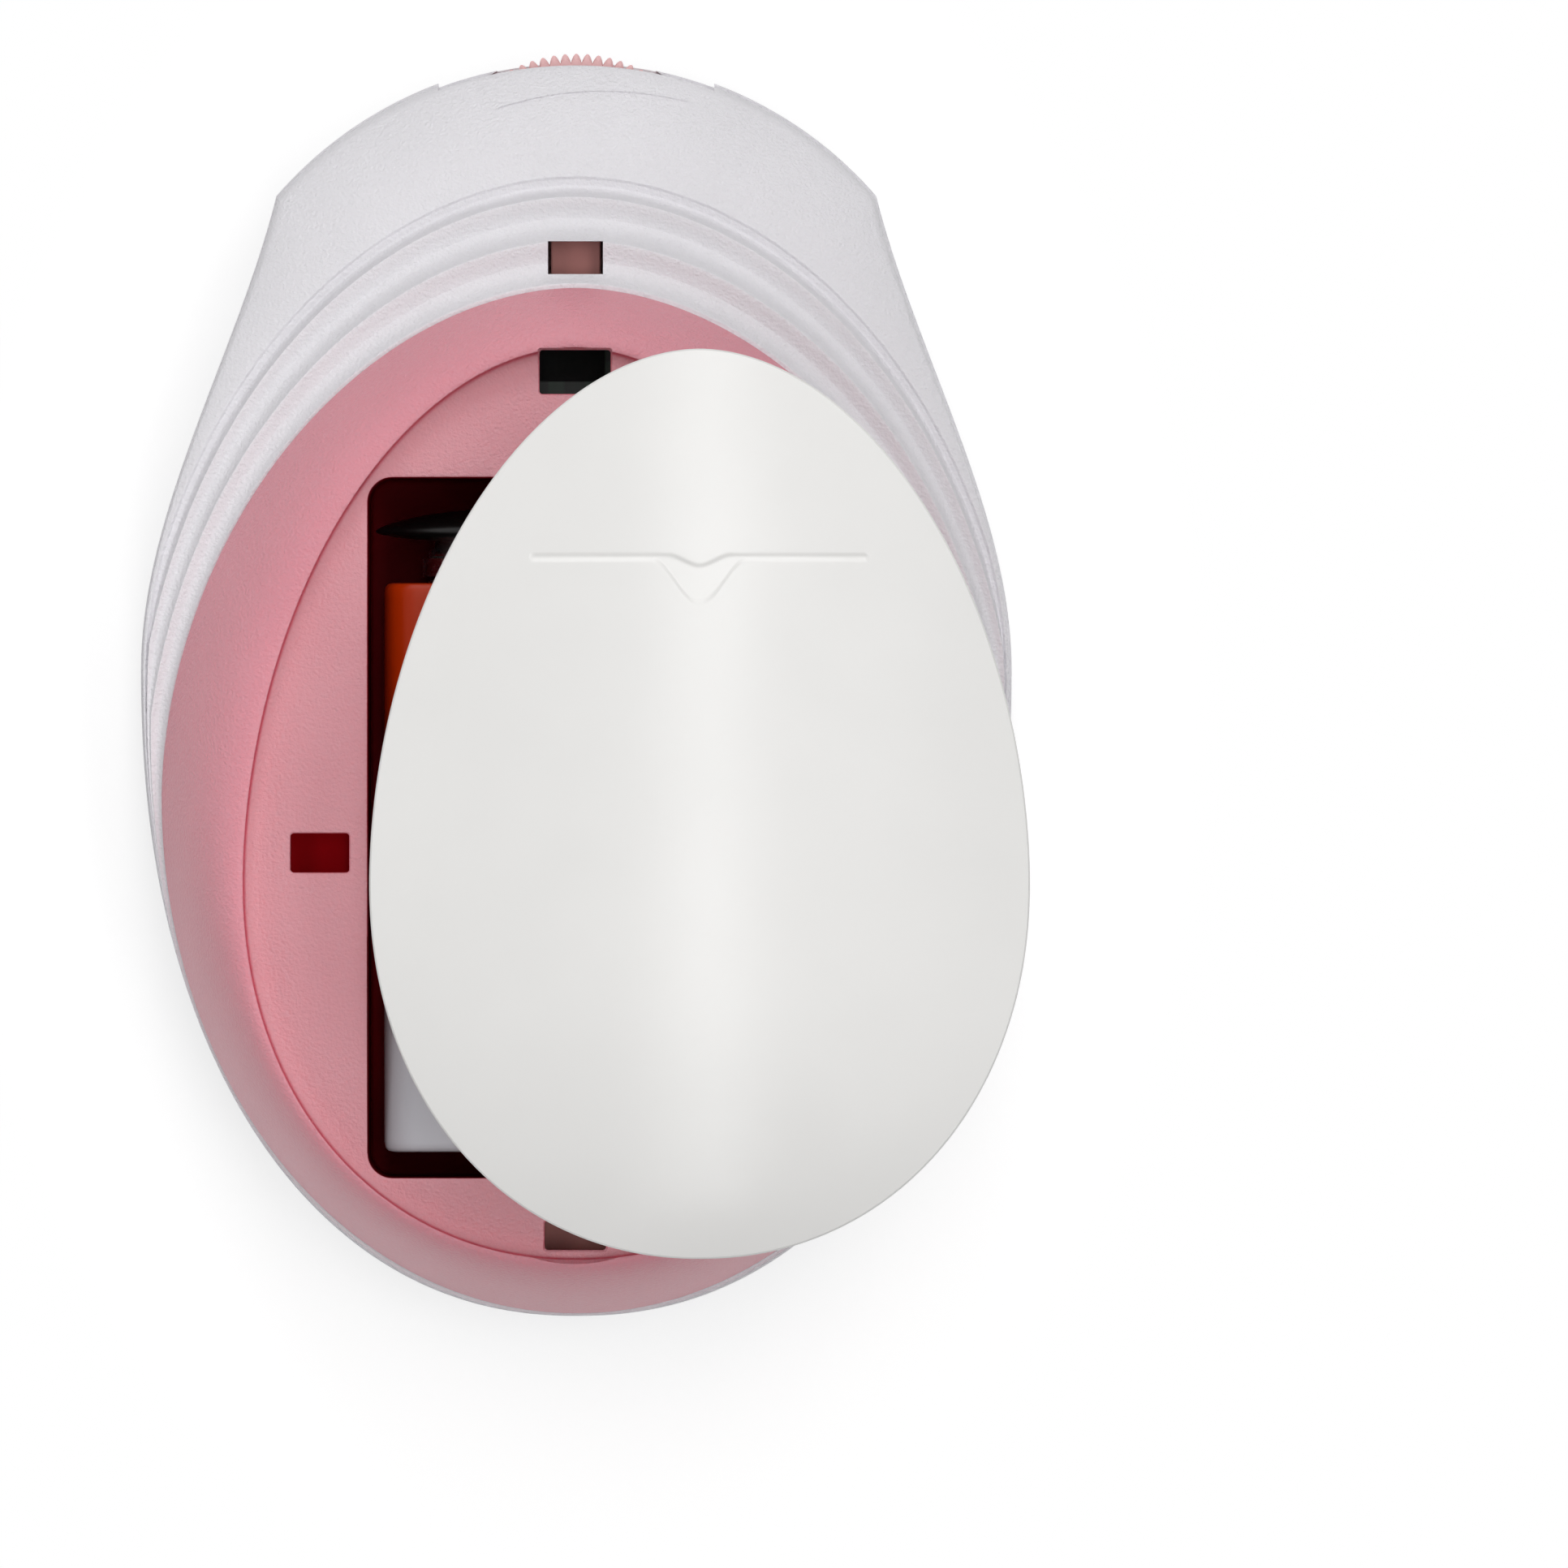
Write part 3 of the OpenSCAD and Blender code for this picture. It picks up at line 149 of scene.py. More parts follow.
def half_at(y):
    """Half width of the body's outline at y."""
    y = np.asarray(y, float)
    back = np.clip((WIDEST_Y - y) / TAIL_L, 0, 1)
    tail = BODY_W / 2 * (1 - back**TAIL_FULL) ** (1 / TAIL_FULL)
    u = np.clip((y - WIDEST_Y) / (CORNER_Y - WIDEST_Y), 0, 1)
    bend = (3 - FLANK_SLOPE) * u**2 + (FLANK_SLOPE - 2) * u**3
    flank = BODY_W / 2 - (BODY_W / 2 - CORNER_X) * bend
    end = np.sqrt(np.clip(HEAD_R**2 - (y - ARC_Y) ** 2, 0, None))
    half = np.where(y < WIDEST_Y, tail, np.where(y < CORNER_Y, flank, end))
    return np.where((y <= TAIL_Y) | (y >= TIP_Y), 0, half)


def reach_of(points, normals):
    """Distance from the dome's edge to the outline along the edge's normal."""
    low, high = np.full(len(points), -2.0), np.full(len(points), 40.0)
    for _ in range(40):
        mid = (low + high) / 2
        p = points + normals * mid[:, None]
        inside = np.abs(p[:, 0]) < half_at(p[:, 1])
        low, high = np.where(inside, mid, low), np.where(inside, high, mid)
    return low


def sample_angles():
    """Even angles, with the samples next to the shoulder corners moved onto them."""
    t = np.arange(AROUND) * TAU / AROUND
    low, high = math.radians(35), math.radians(85)
    for _ in range(40):
        mid = np.array([(low + high) / 2])
        edge, normal = dome_edge(mid), dome_normal(mid)
        y = (edge + normal * reach_of(edge, normal)[:, None])[0, 1]
        low, high = (mid[0], high) if y < CORNER_Y else (low, mid[0])
    for corner in (low, math.pi - low):
        t[np.abs(t - corner).argmin()] = corner
    return t


T = sample_angles()
EDGE = dome_edge(T)
NORMAL = dome_normal(T)
REACH = reach_of(EDGE, NORMAL)


def mix(a, b, s):
    return a + (b - a) * s


def smooth(s):
    c = np.clip(s, 0, 1)
    return c * c * (3 - 2 * c)


def crown(x, y):
    """Height of the recess floor."""
    dy = y - MOUTH_Y
    head = HEAD_DROP * (np.clip(dy, 0, None) / MOUTH_HEAD) ** 2
    tail = TAIL_DROP * (np.clip(-dy, 0, None) / MOUTH_TAIL) ** 2.6
    return FLOOR_Z - SIDE_DROP * (x / MOUTH_HALF) ** 2 - head - tail


SEAT_Z = mix(SEAT_TAIL_Z, SEAT_HEAD_Z, (EDGE[:, 1] - DOME_Y + DOME_TAIL) / (DOME_TAIL + DOME_HEAD))
COLLAR_D = REACH - np.minimum(PARTING_STEP, REACH / 4)
FOLDED = np.where(T > 1.5 * math.pi, T - TAU, np.where(T > math.pi / 2, math.pi - T, T))


def terrace(line, drop, cap):
    """Distance of a terrace line from the dome's edge and its height, at each sample."""
    d = np.minimum(mix(line[0], line[1], smooth(FOLDED / (math.pi / 2))), COLLAR_D * cap)
    return d, SEAT_Z - drop * d / line[1]


# ---- mesh tools ----
def rounded_path(corners, cuts, steps=6):
    """Section paths through the corners, arrays (samples, 2), each rounded by its cut; 0 keeps it sharp."""
    path = []
    for i, here in enumerate(corners):
        cut = cuts[i]
        if cut <= 0 or i in (0, len(corners) - 1):
            path.append(here)
            continue
        before, after = corners[i - 1] - here, corners[i + 1] - here
        long_before = np.linalg.norm(before, axis=1, keepdims=True) + 1e-9
        long_after = np.linalg.norm(after, axis=1, keepdims=True) + 1e-9
        start = here + before / long_before * np.minimum(cut, 0.45 * long_before)
        end = here + after / long_after * np.minimum(cut, 0.45 * long_after)
        for k in range(steps + 1):
            u = k / steps
            path.append(start * (1 - u) ** 2 + here * 2 * u * (1 - u) + end * u * u)
    return path


def level(path, z):
    """Row of a plan path's points at the height z."""
    return np.column_stack([path, np.broadcast_to(z, len(path))])


def at(distance, z):
    """Points at the distance from the dome's edge and the height z."""
    return level(EDGE + NORMAL * np.broadcast_to(distance, REACH.shape)[:, None], z)


def new_object(name, points, faces, body=None, slot=None):
    mesh = bpy.data.meshes.new(name)
    mesh.from_pydata((np.asarray(points) * MM).tolist(), [], faces)
    mesh.validate()
    work = bmesh.new()
    work.from_mesh(mesh)
    bmesh.ops.recalc_face_normals(work, faces=work.faces)
    work.to_mesh(mesh)
    work.free()
    piece = bpy.data.objects.new(name, mesh)
    bpy.context.scene.collection.objects.link(piece)
    if body:
        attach(piece, body)
    return piece


def loft(name, rows, first=None, last=None, ring=False, **kind):
    """Closed skin through closed rows of points: a ring, or a dish between two middle points."""
    count, n = len(rows), len(rows[0])
    points = np.concatenate(rows)
    pairs = [(k, k + 1) for k in range(count - 1)] + ([(count - 1, 0)] if ring else [])
    faces = []
    for r, s in pairs:
        for i in range(n):
            j = (i + 1) % n
            faces.append((r * n + i, r * n + j, s * n + j, s * n + i))
    for middle, row in ((first, 0), (last, count - 1)):
        if middle is not None:
            points = np.concatenate([points, [middle]])
            c = len(points) - 1
            faces += [(row * n + i, row * n + (i + 1) % n, c) for i in range(n)]
    return new_object(name, points, faces, **kind)


def capped(name, rows, **kind):
    """Closed skin through the rows, filled at both ends."""
    return loft(name, rows, rows[0].mean(0), rows[-1].mean(0), **kind)


def side_faces(count):
    """Faces between two rings of points."""
    return [(i, (i + 1) % count, count + (i + 1) % count, count + i) for i in range(count)]


def block(name, low, high):
    x, y, z = zip(low, high)
    points = [(x[i], y[j], z[k]) for i in (0, 1) for j in (0, 1) for k in (0, 1)]
    faces = [(0, 1, 3, 2), (4, 6, 7, 5), (0, 4, 5, 1), (2, 3, 7, 6), (0, 2, 6, 4), (1, 5, 7, 3)]
    return new_object(name, points, faces)


def turned(name, profile, centre, steps=96, axis="Z", **kind):
    """Solid of revolution through (radius, height) points about an axis through the centre."""
    angles = np.arange(steps) * TAU / steps
    rows = []
    for radius, height in [(0, profile[0][1]), *profile, (0, profile[-1][1])]:
        x, y = radius * np.cos(angles), radius * np.sin(angles)
        z = np.full(steps, height)
        rows.append(np.column_stack([x, y, z] if axis == "Z" else [x, z, y]) + centre)
    return loft(name, rows[1:-1], rows[0][0], rows[-1][0], **kind)


def rounded_rectangle(width, length, radius, steps=10, edge=24):
    """Closed path round a rectangle with round corners, about its middle."""
    turns = [(1, 1), (-1, 1), (-1, -1), (1, -1)]

    def on_corner(turn, angle):
        x = turn[0] * (width / 2 - radius) + radius * math.cos(angle)
        y = turn[1] * (length / 2 - radius) + radius * math.sin(angle)
        return x, y

    path = []
    for q in range(4):
        path += [on_corner(turns[q], a) for a in math.pi / 2 * (q + np.arange(steps + 1) / steps)]
        here, goal = path[-1], on_corner(turns[(q + 1) % 4], math.pi / 2 * (q + 1))
        path += [(mix(here[0], goal[0], k / edge), mix(here[1], goal[1], k / edge)) for k in range(1, edge)]
    return np.array(path)


def carve(piece, tools, operation="DIFFERENCE"):
    """Applies booleans and drops the tools."""
    for tool in tools:
        modifier = piece.modifiers.new("carve", "BOOLEAN")
        modifier.object = tool
        modifier.operation = operation
        modifier.solver = "MANIFOLD"
        bpy.context.view_layer.update()
        shape = bpy.data.meshes.new_from_object(piece.evaluated_get(bpy.context.evaluated_depsgraph_get()))
        piece.modifiers.clear()
        old = piece.data
        piece.data = shape
        bpy.data.meshes.remove(old)
        bpy.data.objects.remove(tool)
    return piece


def finish_shape(piece, degrees=26.0):
    piece.data.shade_smooth()
    piece.data.set_sharp_from_angle(angle=math.radians(degrees))


def stand_in(piece, degrees, node):
    """Finishes a piece that replaces a construction node."""
    finish_shape(piece, degrees)
    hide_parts(node)
    return piece


# ---- cutting tools ----
def pocket_path(grow):
    """Plan outline of the battery compartment, grown all round."""
    path = rounded_rectangle(POCKET_W + 2 * grow, POCKET_LEN + 2 * grow, POCKET_R + grow)
    return path + (0, POCKET_MID)


def pocket_tool():
    """Inside of the battery compartment, with a rounded upper edge that follows the floor's crown."""
    # growth, and height above the bottom or depth below the crown
    foot = [(-0.6, 0), (-0.25, 0.12), (-0.06, 0.35), (0, 0.8)]
    brim = [(0, 0.22), (0.02, 0.13), (0.06, 0.06), (0.13, 0.02), (0.22, -0.01), (0.25, -6)]
    above = 45.0
    rows = [level(pocket_path(grow), POCKET_Z + rise) for grow, rise in foot]
    for grow, sink in brim:
        path = pocket_path(grow)
        rows.append(level(path, crown(path[:, 0], path[:, 1]) - sink))
    low, high = rows[0].mean(0), rows[-1].mean(0)
    return loft("pocket_tool", rows, low, [high[0], high[1], above])


def slot_path(width, length, radius=0.25):
    """Plan outline of a slot, a tab's cup or a small pin, about its middle."""
    return rounded_rectangle(width, length, radius, 4, 6)


def slot_tool(x, y, width, length):
    """Through slot with lightly rounded edges."""
    base = crown(x, y)
    path = slot_path(width, length)
    rows = []
    for grow, z in ((0, -12), (0, -0.12), (0.04, -0.05), (0.1, 0.0), (0.14, 0.06), (0.14, 3)):
        ring = path * (1 + 2 * grow / np.array([width, length])) + (x, y)
        lift = crown(ring[:, 0], ring[:, 1]) - base if z > -1 else 0
        rows.append(level(ring, base + z + lift))
    return capped("slot_tool", rows)


def nail_tool():
    """Shallow arc in the recess lip at the tail, where a nail lifts the cover."""
    radius, reach, half, back, count = 11.0, 0.36, 4.3, 0.55, 40
    lip = MOUTH_Y - MOUTH_TAIL
    xs = np.linspace(-half, half, count)
    arc = np.column_stack([xs, lip - reach + radius - np.sqrt(radius**2 - xs**2)])
    path = np.concatenate([arc, np.column_stack([xs[::-1], np.full(count, lip + back)])])
    z = float(crown(0, lip))
    rows = []
    for inset, height in ((0.5, z + 1.1), (0.2, z + 1.5), (0, z + RECESS_D), (0, z + 5)):
        shift = np.concatenate([np.full(count, inset), np.zeros(count)])
        rows.append(np.column_stack([path[:, 0], path[:, 1] + shift, np.full(2 * count, height)]))
    return capped("nail_tool", rows)


def wheel_tool():
    """Room for the wheel between the shells."""
    radius, above = WHEEL_R + WHEEL_ROOM, 0.4
    profile = [(radius, WHEEL_Z - above), (radius, WHEEL_Z + WHEEL_T + above)]
    return turned("wheel_tool", profile, np.array([0, WHEEL_Y, 0]), 256)


def bay_tool(step):
    """Shallow bay in the end face around the wheel: a thin crescent outside a smaller arc."""
    inner, outer = HEAD_R - step - BAY_DEPTH, HEAD_R + 3
    half = math.asin(BAY_HALF / inner)
    angles = math.pi / 2 + np.linspace(half, -half, 60)
    near = [(inner * math.cos(a), ARC_Y + inner * math.sin(a)) for a in angles]
    far = [(x, ARC_Y + math.sqrt(outer**2 - x * x)) for x, _ in near[::-1]]
    path = np.array(near + far)
    count, below, above = len(path), -1.0, 40.0
    faces = side_faces(count) + [tuple(range(count)), tuple(range(count, 2 * count))]
    return new_object("bay_tool", np.concatenate([level(path, below), level(path, above)]), faces)


def jack_tools():
    """Holes in the end face for the plugs of both headphone sockets."""
    low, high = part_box("headphone_jack_right")
    z, x = (low.z + high.z) / 2 / MM, (low.x + high.x) / 2 / MM
    overlap, length = 4.5, 20
    y = high.y / MM - overlap
    profile = [(JACK_HOLE_R, 0), (JACK_HOLE_R, length)]
    return [turned("jack_tool", profile, np.array([side * x, y, z]), 64, "Y") for side in (-1, 1)]


# ---- shells ----
def collar_rows():
    """Section of the collar at each sample: outside from the parting line up and in, then back below."""
    outer, seat = COLLAR_D, SEAT_Z
    crease, z_crease = terrace(CREASE, CREASE_DROP, 0.94)
    crest2, z_crest2 = terrace(CREST2, CREST2_DROP, 0.86)
    foot2, z_foot2 = terrace(FOOT2, FOOT2_DROP, 0.78)
    crest3, z_crest3 = terrace(CREST3, CREST3_DROP, 0.7)
    deck = outer - crease
    z_rim = z_crease - DECK_FALL * deck
    inner = REACH - WALL - FIT_GAP - SPIGOT_T
    under = np.minimum(foot2, inner)
    # at the tail the inside closes down to fine steps above the parting line
    z_under = np.maximum(PARTING_Z + 0.12, z_foot2 - WALL)
    z_lip = np.maximum(PARTING_Z + 0.2, seat - WALL)
    z_wall = np.maximum(PARTING_Z + 0.05, np.minimum(z_rim - WALL * 0.75, z_under - 0.05))

    def spot(d, z):
        return np.stack([np.broadcast_to(d, outer.shape), np.broadcast_to(z, outer.shape)], -1)

    corners = [spot(outer - 0.15, PARTING_Z), spot(outer, PARTING_Z + 0.15), spot(outer, z_rim)]
    cuts = [0, 0, RIM_R]
    for u in (0.25, 0.5, 0.75):
        lift = DECK_CROWN * deck * 4 * u * (1 - u)
        corners.append(spot(mix(outer, crease, u), mix(z_rim, z_crease, u) + lift))
        cuts.append(deck.max() * 0.12)
    # the deck ends in a fine lip; past it, and past each crest, the skin sinks a little and
    # then bends up ever more steeply to the next crest
    corners += [spot(crease, z_crease), spot(crease - LIP, z_crease - LIP)]
    cuts += [0.1, 0]
    crests = [(crease - LIP, z_crease - LIP), (crest2, z_crest2), (crest3, z_crest3), (crest3 * 0.1, seat)]
    for (start, z_start), (end, z_end) in zip(crests, crests[1:]):
        sunk = SINK * (start - end)
        for u in TERRACE_SHARES:
            z = z_start - sunk * smooth(u / 0.55) + (z_end - z_start + sunk) * u**BEND
            corners.append(spot(mix(start, end, u), z))
            cuts.append(0.1 if u == 1.0 else 0)
    corners += [spot(-SEAT_W, seat), spot(-SEAT_W, z_lip), spot(under, z_under)]
    cuts += [0, 0, 0]
    corners += [spot(inner, z_wall), spot(inner, PARTING_Z - SPIGOT_H)]
    corners += [spot(inner + SPIGOT_T, PARTING_Z - SPIGOT_H), spot(inner + SPIGOT_T, PARTING_Z)]
    cuts += [0, 0, 0, 0]
    return [at(row[:, 0], row[:, 1]) for row in rounded_path(corners, cuts)]


def sign_tool(collar):
    """Thin rising wedge pressed into the head deck beside the wheel."""
    xs = np.linspace(SIGN_LEFT, SIGN_RIGHT, 24)
    share = (xs - SIGN_LEFT) / (SIGN_RIGHT - SIGN_LEFT)
    low = SIGN_Y + SIGN_TILT * xs - SIGN_SAG * xs * xs
    upper = np.column_stack([xs + 0.5 * share, low + SIGN_TALL * share**0.75])[:0:-1]
    path = np.concatenate([np.column_stack([xs, low]), upper])
    heights = []
    for x, y in path:
        _, place, _, _ = collar.ray_cast(Vector((x * MM, y * MM, 0.1)), Vector((0, 0, -1)))
        heights.append(place.z / MM)
    count, strip, z = len(path), len(xs), np.array(heights)
    # the wedge is filled by triangles from its point to its blunt end
    pairs = [(0, 1, count - 1)]
    pairs += [(i, i + 1, count - 1 - i) for i in range(1, strip - 1)]
    pairs += [(i, count - 1 - i, count - i) for i in range(1, strip - 1)]
    pairs.append((strip - 2, strip - 1, strip))
    faces = side_faces(count)
    for base in (0, count):
        faces += [tuple(base + i for i in face) for face in pairs if len(set(face)) == 3]
    return new_object("sign_tool", np.concatenate([level(path, z - SIGN_DEPTH), level(path, z + 2)]), faces)


def make_collar():
    collar = loft("collar_skin", collar_rows(), ring=True, body="housing", slot="white_shell")
    head_edge = dome_edge(np.array([math.pi / 2]))[0, 1]
    window_y = head_edge + WINDOW_OUT + WINDOW_L / 2
    low = (-WINDOW_W / 2, window_y - WINDOW_L / 2, SEAT_HEAD_Z - 6)
    high = (WINDOW_W / 2, window_y + WINDOW_L / 2, SEAT_HEAD_Z + 4)
    carve(collar, [block("window_tool", low, high), wheel_tool(), bay_tool(PARTING_STEP), *jack_tools()])
    carve(collar, [sign_tool(collar)])
    return stand_in(collar, 22, "collar_shell")


def dome_top(u):
    """Row of the dome's outside, from its edge (u = 0) to the recess mouth (u = 1)."""
    rim = mouth(0, T)
    p = mix(EDGE, rim, u)
    z = mix(SEAT_Z + DOME_EDGE_H, crown(rim[:, 0], rim[:, 1]) + RECESS_D, 1 - (1 - u) ** RIM_POWER)
    z += DOME_SWELL * u**1.5 * (1 - u)
    return np.column_stack([p, z])


def floor_row(inset, s, lift):
    """Row of the recess floor: the mouth's egg, inset and then drawn in to the share s."""
    m = mouth(inset, T)
    x, y = m[:, 0] * s, mix(MOUTH_Y, m[:, 1], s)
    return np.column_stack([x, y, crown(x, y) + lift])


def recess_wall(a):
    """Row of the recess wall, from the floor (a = 0) to the lip (a = a quarter turn)."""
    return floor_row(MOUTH_DRAFT * (1 - math.sin(a)) ** 2.2, 1, RECESS_D * (1 - math.cos(a)) ** 0.9)


def dome_rows():
    lip, skirt_in = SEAT_W + 0.2, 1.5
    rows = [floor_row(MOUTH_DRAFT, s, 0) for s in np.linspace(0.04, 0.96, 24)]
    # the recess wall: a hollow curve from the floor up to a crisp lip
    wall = [recess_wall(a) for a in np.linspace(0, math.pi / 2, 15)[:-1]]
    lip_rows = [(0.02, -0.06), (-0.03, -0.015)]
    edge = [floor_row(inset, 1, RECESS_D + drop) for inset, drop in lip_rows]
    outside = [dome_top(u) for u in np.linspace(0.975, 0, 44) ** 1.15]
    rows += wall + edge + outside
    # back below: over the collar's seat, down its skirt, and up inside
    seat, skirt_end = SEAT_Z + 0.05, SEAT_Z - 1
    rows += [at(-0.02, seat), at(-lip, seat), at(-lip, skirt_end), at(-lip - skirt_in, skirt_end)]
    rows.append(level(at(-lip - skirt_in, 0)[:, :2], dome_top(0.38)[:, 2] - DOME_T))
    rows += [floor_row(MOUTH_DRAFT, s, -DOME_T) for s in (1, 0.8, 0.6, 0.4, 0.2)]
    return rows


def pocket_walls():
    """Outside of the battery compartment, below the recess floor."""
    path, low = pocket_path(POCKET_T), POCKET_Z - POCKET_T
    rows = [level(path, low), level(path, crown(path[:, 0], path[:, 1]) - DOME_T / 2)]
    top = [0, POCKET_MID, float(crown(0, POCKET_MID)) - DOME_T / 2]
    return loft("pocket_walls", rows, [0, POCKET_MID, low], top)


def make_dome():
    mid = float(crown(0, MOUTH_Y))
    first, last = [0, MOUTH_Y, mid], [0, MOUTH_Y, mid - DOME_T]
    dome = loft("dome_skin", dome_rows(), first, last, body="housing", slot="pink_shell")
    carve(dome, [pocket_walls()], "UNION")
    carve(dome, [pocket_tool(), nail_tool()] + [slot_tool(*slot) for slot in SLOTS])
    return stand_in(dome, 24, "dome_shell")


def make_ribs():
    """Two spacer ribs right of the battery, sunk a little into the compartment's wall and bottom."""
    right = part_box("battery_case")[1].x / MM + 0.3
    width = POCKET_W / 2 - right + 0.3
    top = POCKET_Z + RIB_H - 0.3
    for k, y in enumerate(RIB_Y):
        middle = np.array([right + width / 2, y + RIB_T / 2])
        path = slot_path(RIB_T, width, 0.3)[:, ::-1]
        rows = []
        for shrink, z in ((1, POCKET_Z - 0.2), (1, top - 0.3), (0.97, top - 0.08), (0.9, top)):
            rows.append(level(middle + path * (shrink, 1), z))
        rib = capped(f"rib_{k + 1}", rows, body="housing", slot="pink_shell")
        finish_shape(rib)
        yield rib


def make_tongue():
    """Face of the dome's latch tongue, seen through the collar's window."""
    y = DOME_Y + DOME_HEAD + WINDOW_OUT + WINDOW_L / 2
    top = SEAT_HEAD_Z - FOOT2_DROP - WALL - 0.3
    rows = []
    for grow, z in ((-0.3, top - 0.2), (-0.25, top + 0.06), (-0.35, top + 0.12)):
        rows.append(level(slot_path(WINDOW_W + 2 * grow, WINDOW_L + 1, 0.3) + (0, y), z))
    face = capped("tongue_face", rows, body="housing", slot="pink_shell")
    finish_shape(face)
    return face


def make_wells():
    """Closed cups under the side and tail slots that take the cover's tabs."""
    for k, (x, y, width, length) in enumerate(SLOTS[1:]):
        middle = np.array([x, y])
        inner = slot_path(width, length) + middle
        outer = slot_path(width + 2 * WELL_WALL, length + 2 * WELL_WALL, 0.25 + WELL_WALL) + middle
        top = float(crown(x, y)) - DOME_T + 0.3
        floor = float(crown(x, y)) - WELL_DEPTH
        under = floor - WELL_WALL
        section = [(mix(middle, outer, 0.5), under), (outer, under), (outer, top)]
        section += [(inner, top), (inner, floor), (mix(middle, inner, 0.5), floor)]
        rows = [level(path, z) for path, z in section]
        name = f"slot_well_{k + 1}"
        well = loft(name, rows, [x, y, under], [x, y, floor], body="housing", slot="pink_shell")
        finish_shape(well)
        yield well


def low_row(d, dz):
    """Row at the distance d inside the outline, dz above the belly."""
    p = at(REACH - d, 0)
    along = np.clip(p[:, 1] - BELLY_BEND_Y, 0, None) / (TIP_Y - BELLY_BEND_Y)
    belly = BELLY_Z + HEAD_RISE * along**2
    return level(p[:, :2], belly + dz)


def low_corner(inset):
    """Rows from the belly round the shell's lower corner, a quarter of a superellipse, moved in and up."""
    rows = [low_row(d, inset) for d in (14, 10, 7.6 + inset)]
    for k in range(1, 25):
        a = math.pi / 2 * k / 25
        d = CORNER_IN * (1 - math.sin(a) ** CORNER_POWER)
        dz = CORNER_UP * (1 - math.cos(a) ** CORNER_POWER)
        rows.append(low_row(d + inset, dz + inset))
    return rows


def boss_room():
    """Space inside the bottom's skin that the screw bosses may fill."""
    top = PARTING_Z + 1
    rows = low_corner(BOSS_INSET) + [at(REACH - BOSS_INSET, top)]
    return loft("boss_room", rows, [0, -2, BELLY_Z + BOSS_INSET], [0, -2, top])


def screw_boss(x, y):
    """Boss round a housing screw, kept inside the bottom's skin."""
    foot, seat = 2.8, 3.7  # radius at both ends and round the screw's seat
    profile = [(foot, BELLY_Z + 0.6), (seat, BELLY_Z + 1.7), (seat, SCREW_SEAT_Z + 1)]
    profile += [(foot, SCREW_SEAT_Z + 1), (foot, PARTING_Z - 0.05)]
    return carve(turned("boss", profile, np.array([x, y, 0]), 48), [boss_room()], "INTERSECT")


def screw_bore(x, y):
    """Hole for a housing screw: a countersunk way for the head, then a pilot for the shank."""
    head, shank = SCREW_HEAD_R + 0.3, SCREW_R + 0.3
    profile = [(SCREW_HEAD_R + 0.45, -1), (head, BELLY_Z + 0.4), (head, SCREW_SEAT_Z)]
    profile += [(shank, SCREW_SEAT_Z), (shank, PARTING_Z + 1)]
    return turned("screw_tool", profile, np.array([x, y, 0]), 48)


def bottom_rows():
    """Outside from the belly up to the parting line, then back down inside."""
    rows = low_corner(0)
    rows += [at(REACH, PARTING_Z - 1.6), at(REACH, PARTING_Z - 0.12), at(REACH - 0.12, PARTING_Z)]
    rows += [at(REACH - WALL, PARTING_Z), at(REACH - WALL - 0.05, PARTING_Z - 2.2)]
    rows += [low_row(0.5 + WALL, 6), low_row(1.6 + WALL, 3.2), low_row(7, 1.8), low_row(14, 1.8)]
    return rows


def make_bottom():
    first, last = [0, -2, BELLY_Z], [0, -2, BELLY_Z + 1.8]
    bottom = loft("bottom_skin", bottom_rows(), first, last, body="housing", slot="white_shell")
    screws = screw_places()
    carve(bottom, [screw_boss(x, y) for x, y in screws], "UNION")
    bore = PROBE_R + FIT_GAP + BEZEL_T + FIT_GAP
    cuts = [wheel_tool(), bay_tool(0), *jack_tools()]
    cuts.append(turned("bore_tool", [(bore, -1), (bore, 8)], np.zeros(3), 192))
    carve(bottom, cuts + [screw_bore(x, y) for x, y in screws])
    return stand_in(bottom, 24, "bottom_shell")


def screw_places():
    """Middles of the four housing screws, read from the frame's node."""
    points = np.array([v.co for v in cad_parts["housing_screws"].data.vertices]) / MM
    places = []
    for sx in (-1, 1):
        for head in (False, True):
            chosen = points[(np.sign(points[:, 0]) == sx) & ((points[:, 1] > 0) == head)]
            places.append(tuple((chosen.min(0) + chosen.max(0))[:2] / 2))
    return places


# ---- cover ----
COVER_MOVE = np.array([COVER_ASIDE, 0, COVER_ASIDE * COVER_RISE])


def grip_depth(x, y):
    """Depth of the finger grip pressed into the cover, at plan points about the cover's own middle line."""
    ax = np.abs(x)
    dip, half = 0.85, 2.6  # how the line's upper edge gives way over the point
    upper = GRIP_Y + 0.2 - dip * smooth((half - ax) / half)
    lower = GRIP_Y - 0.22 - GRIP_DIP * smooth((3.8 - ax) / 3.6)
    inside = smooth((upper - y) / GRIP_EDGE + 0.5) * smooth((y - lower) / GRIP_EDGE + 0.5)
    ends = smooth((GRIP_HALF - ax) / 0.5)
    return GRIP_DEPTH * inside * ends


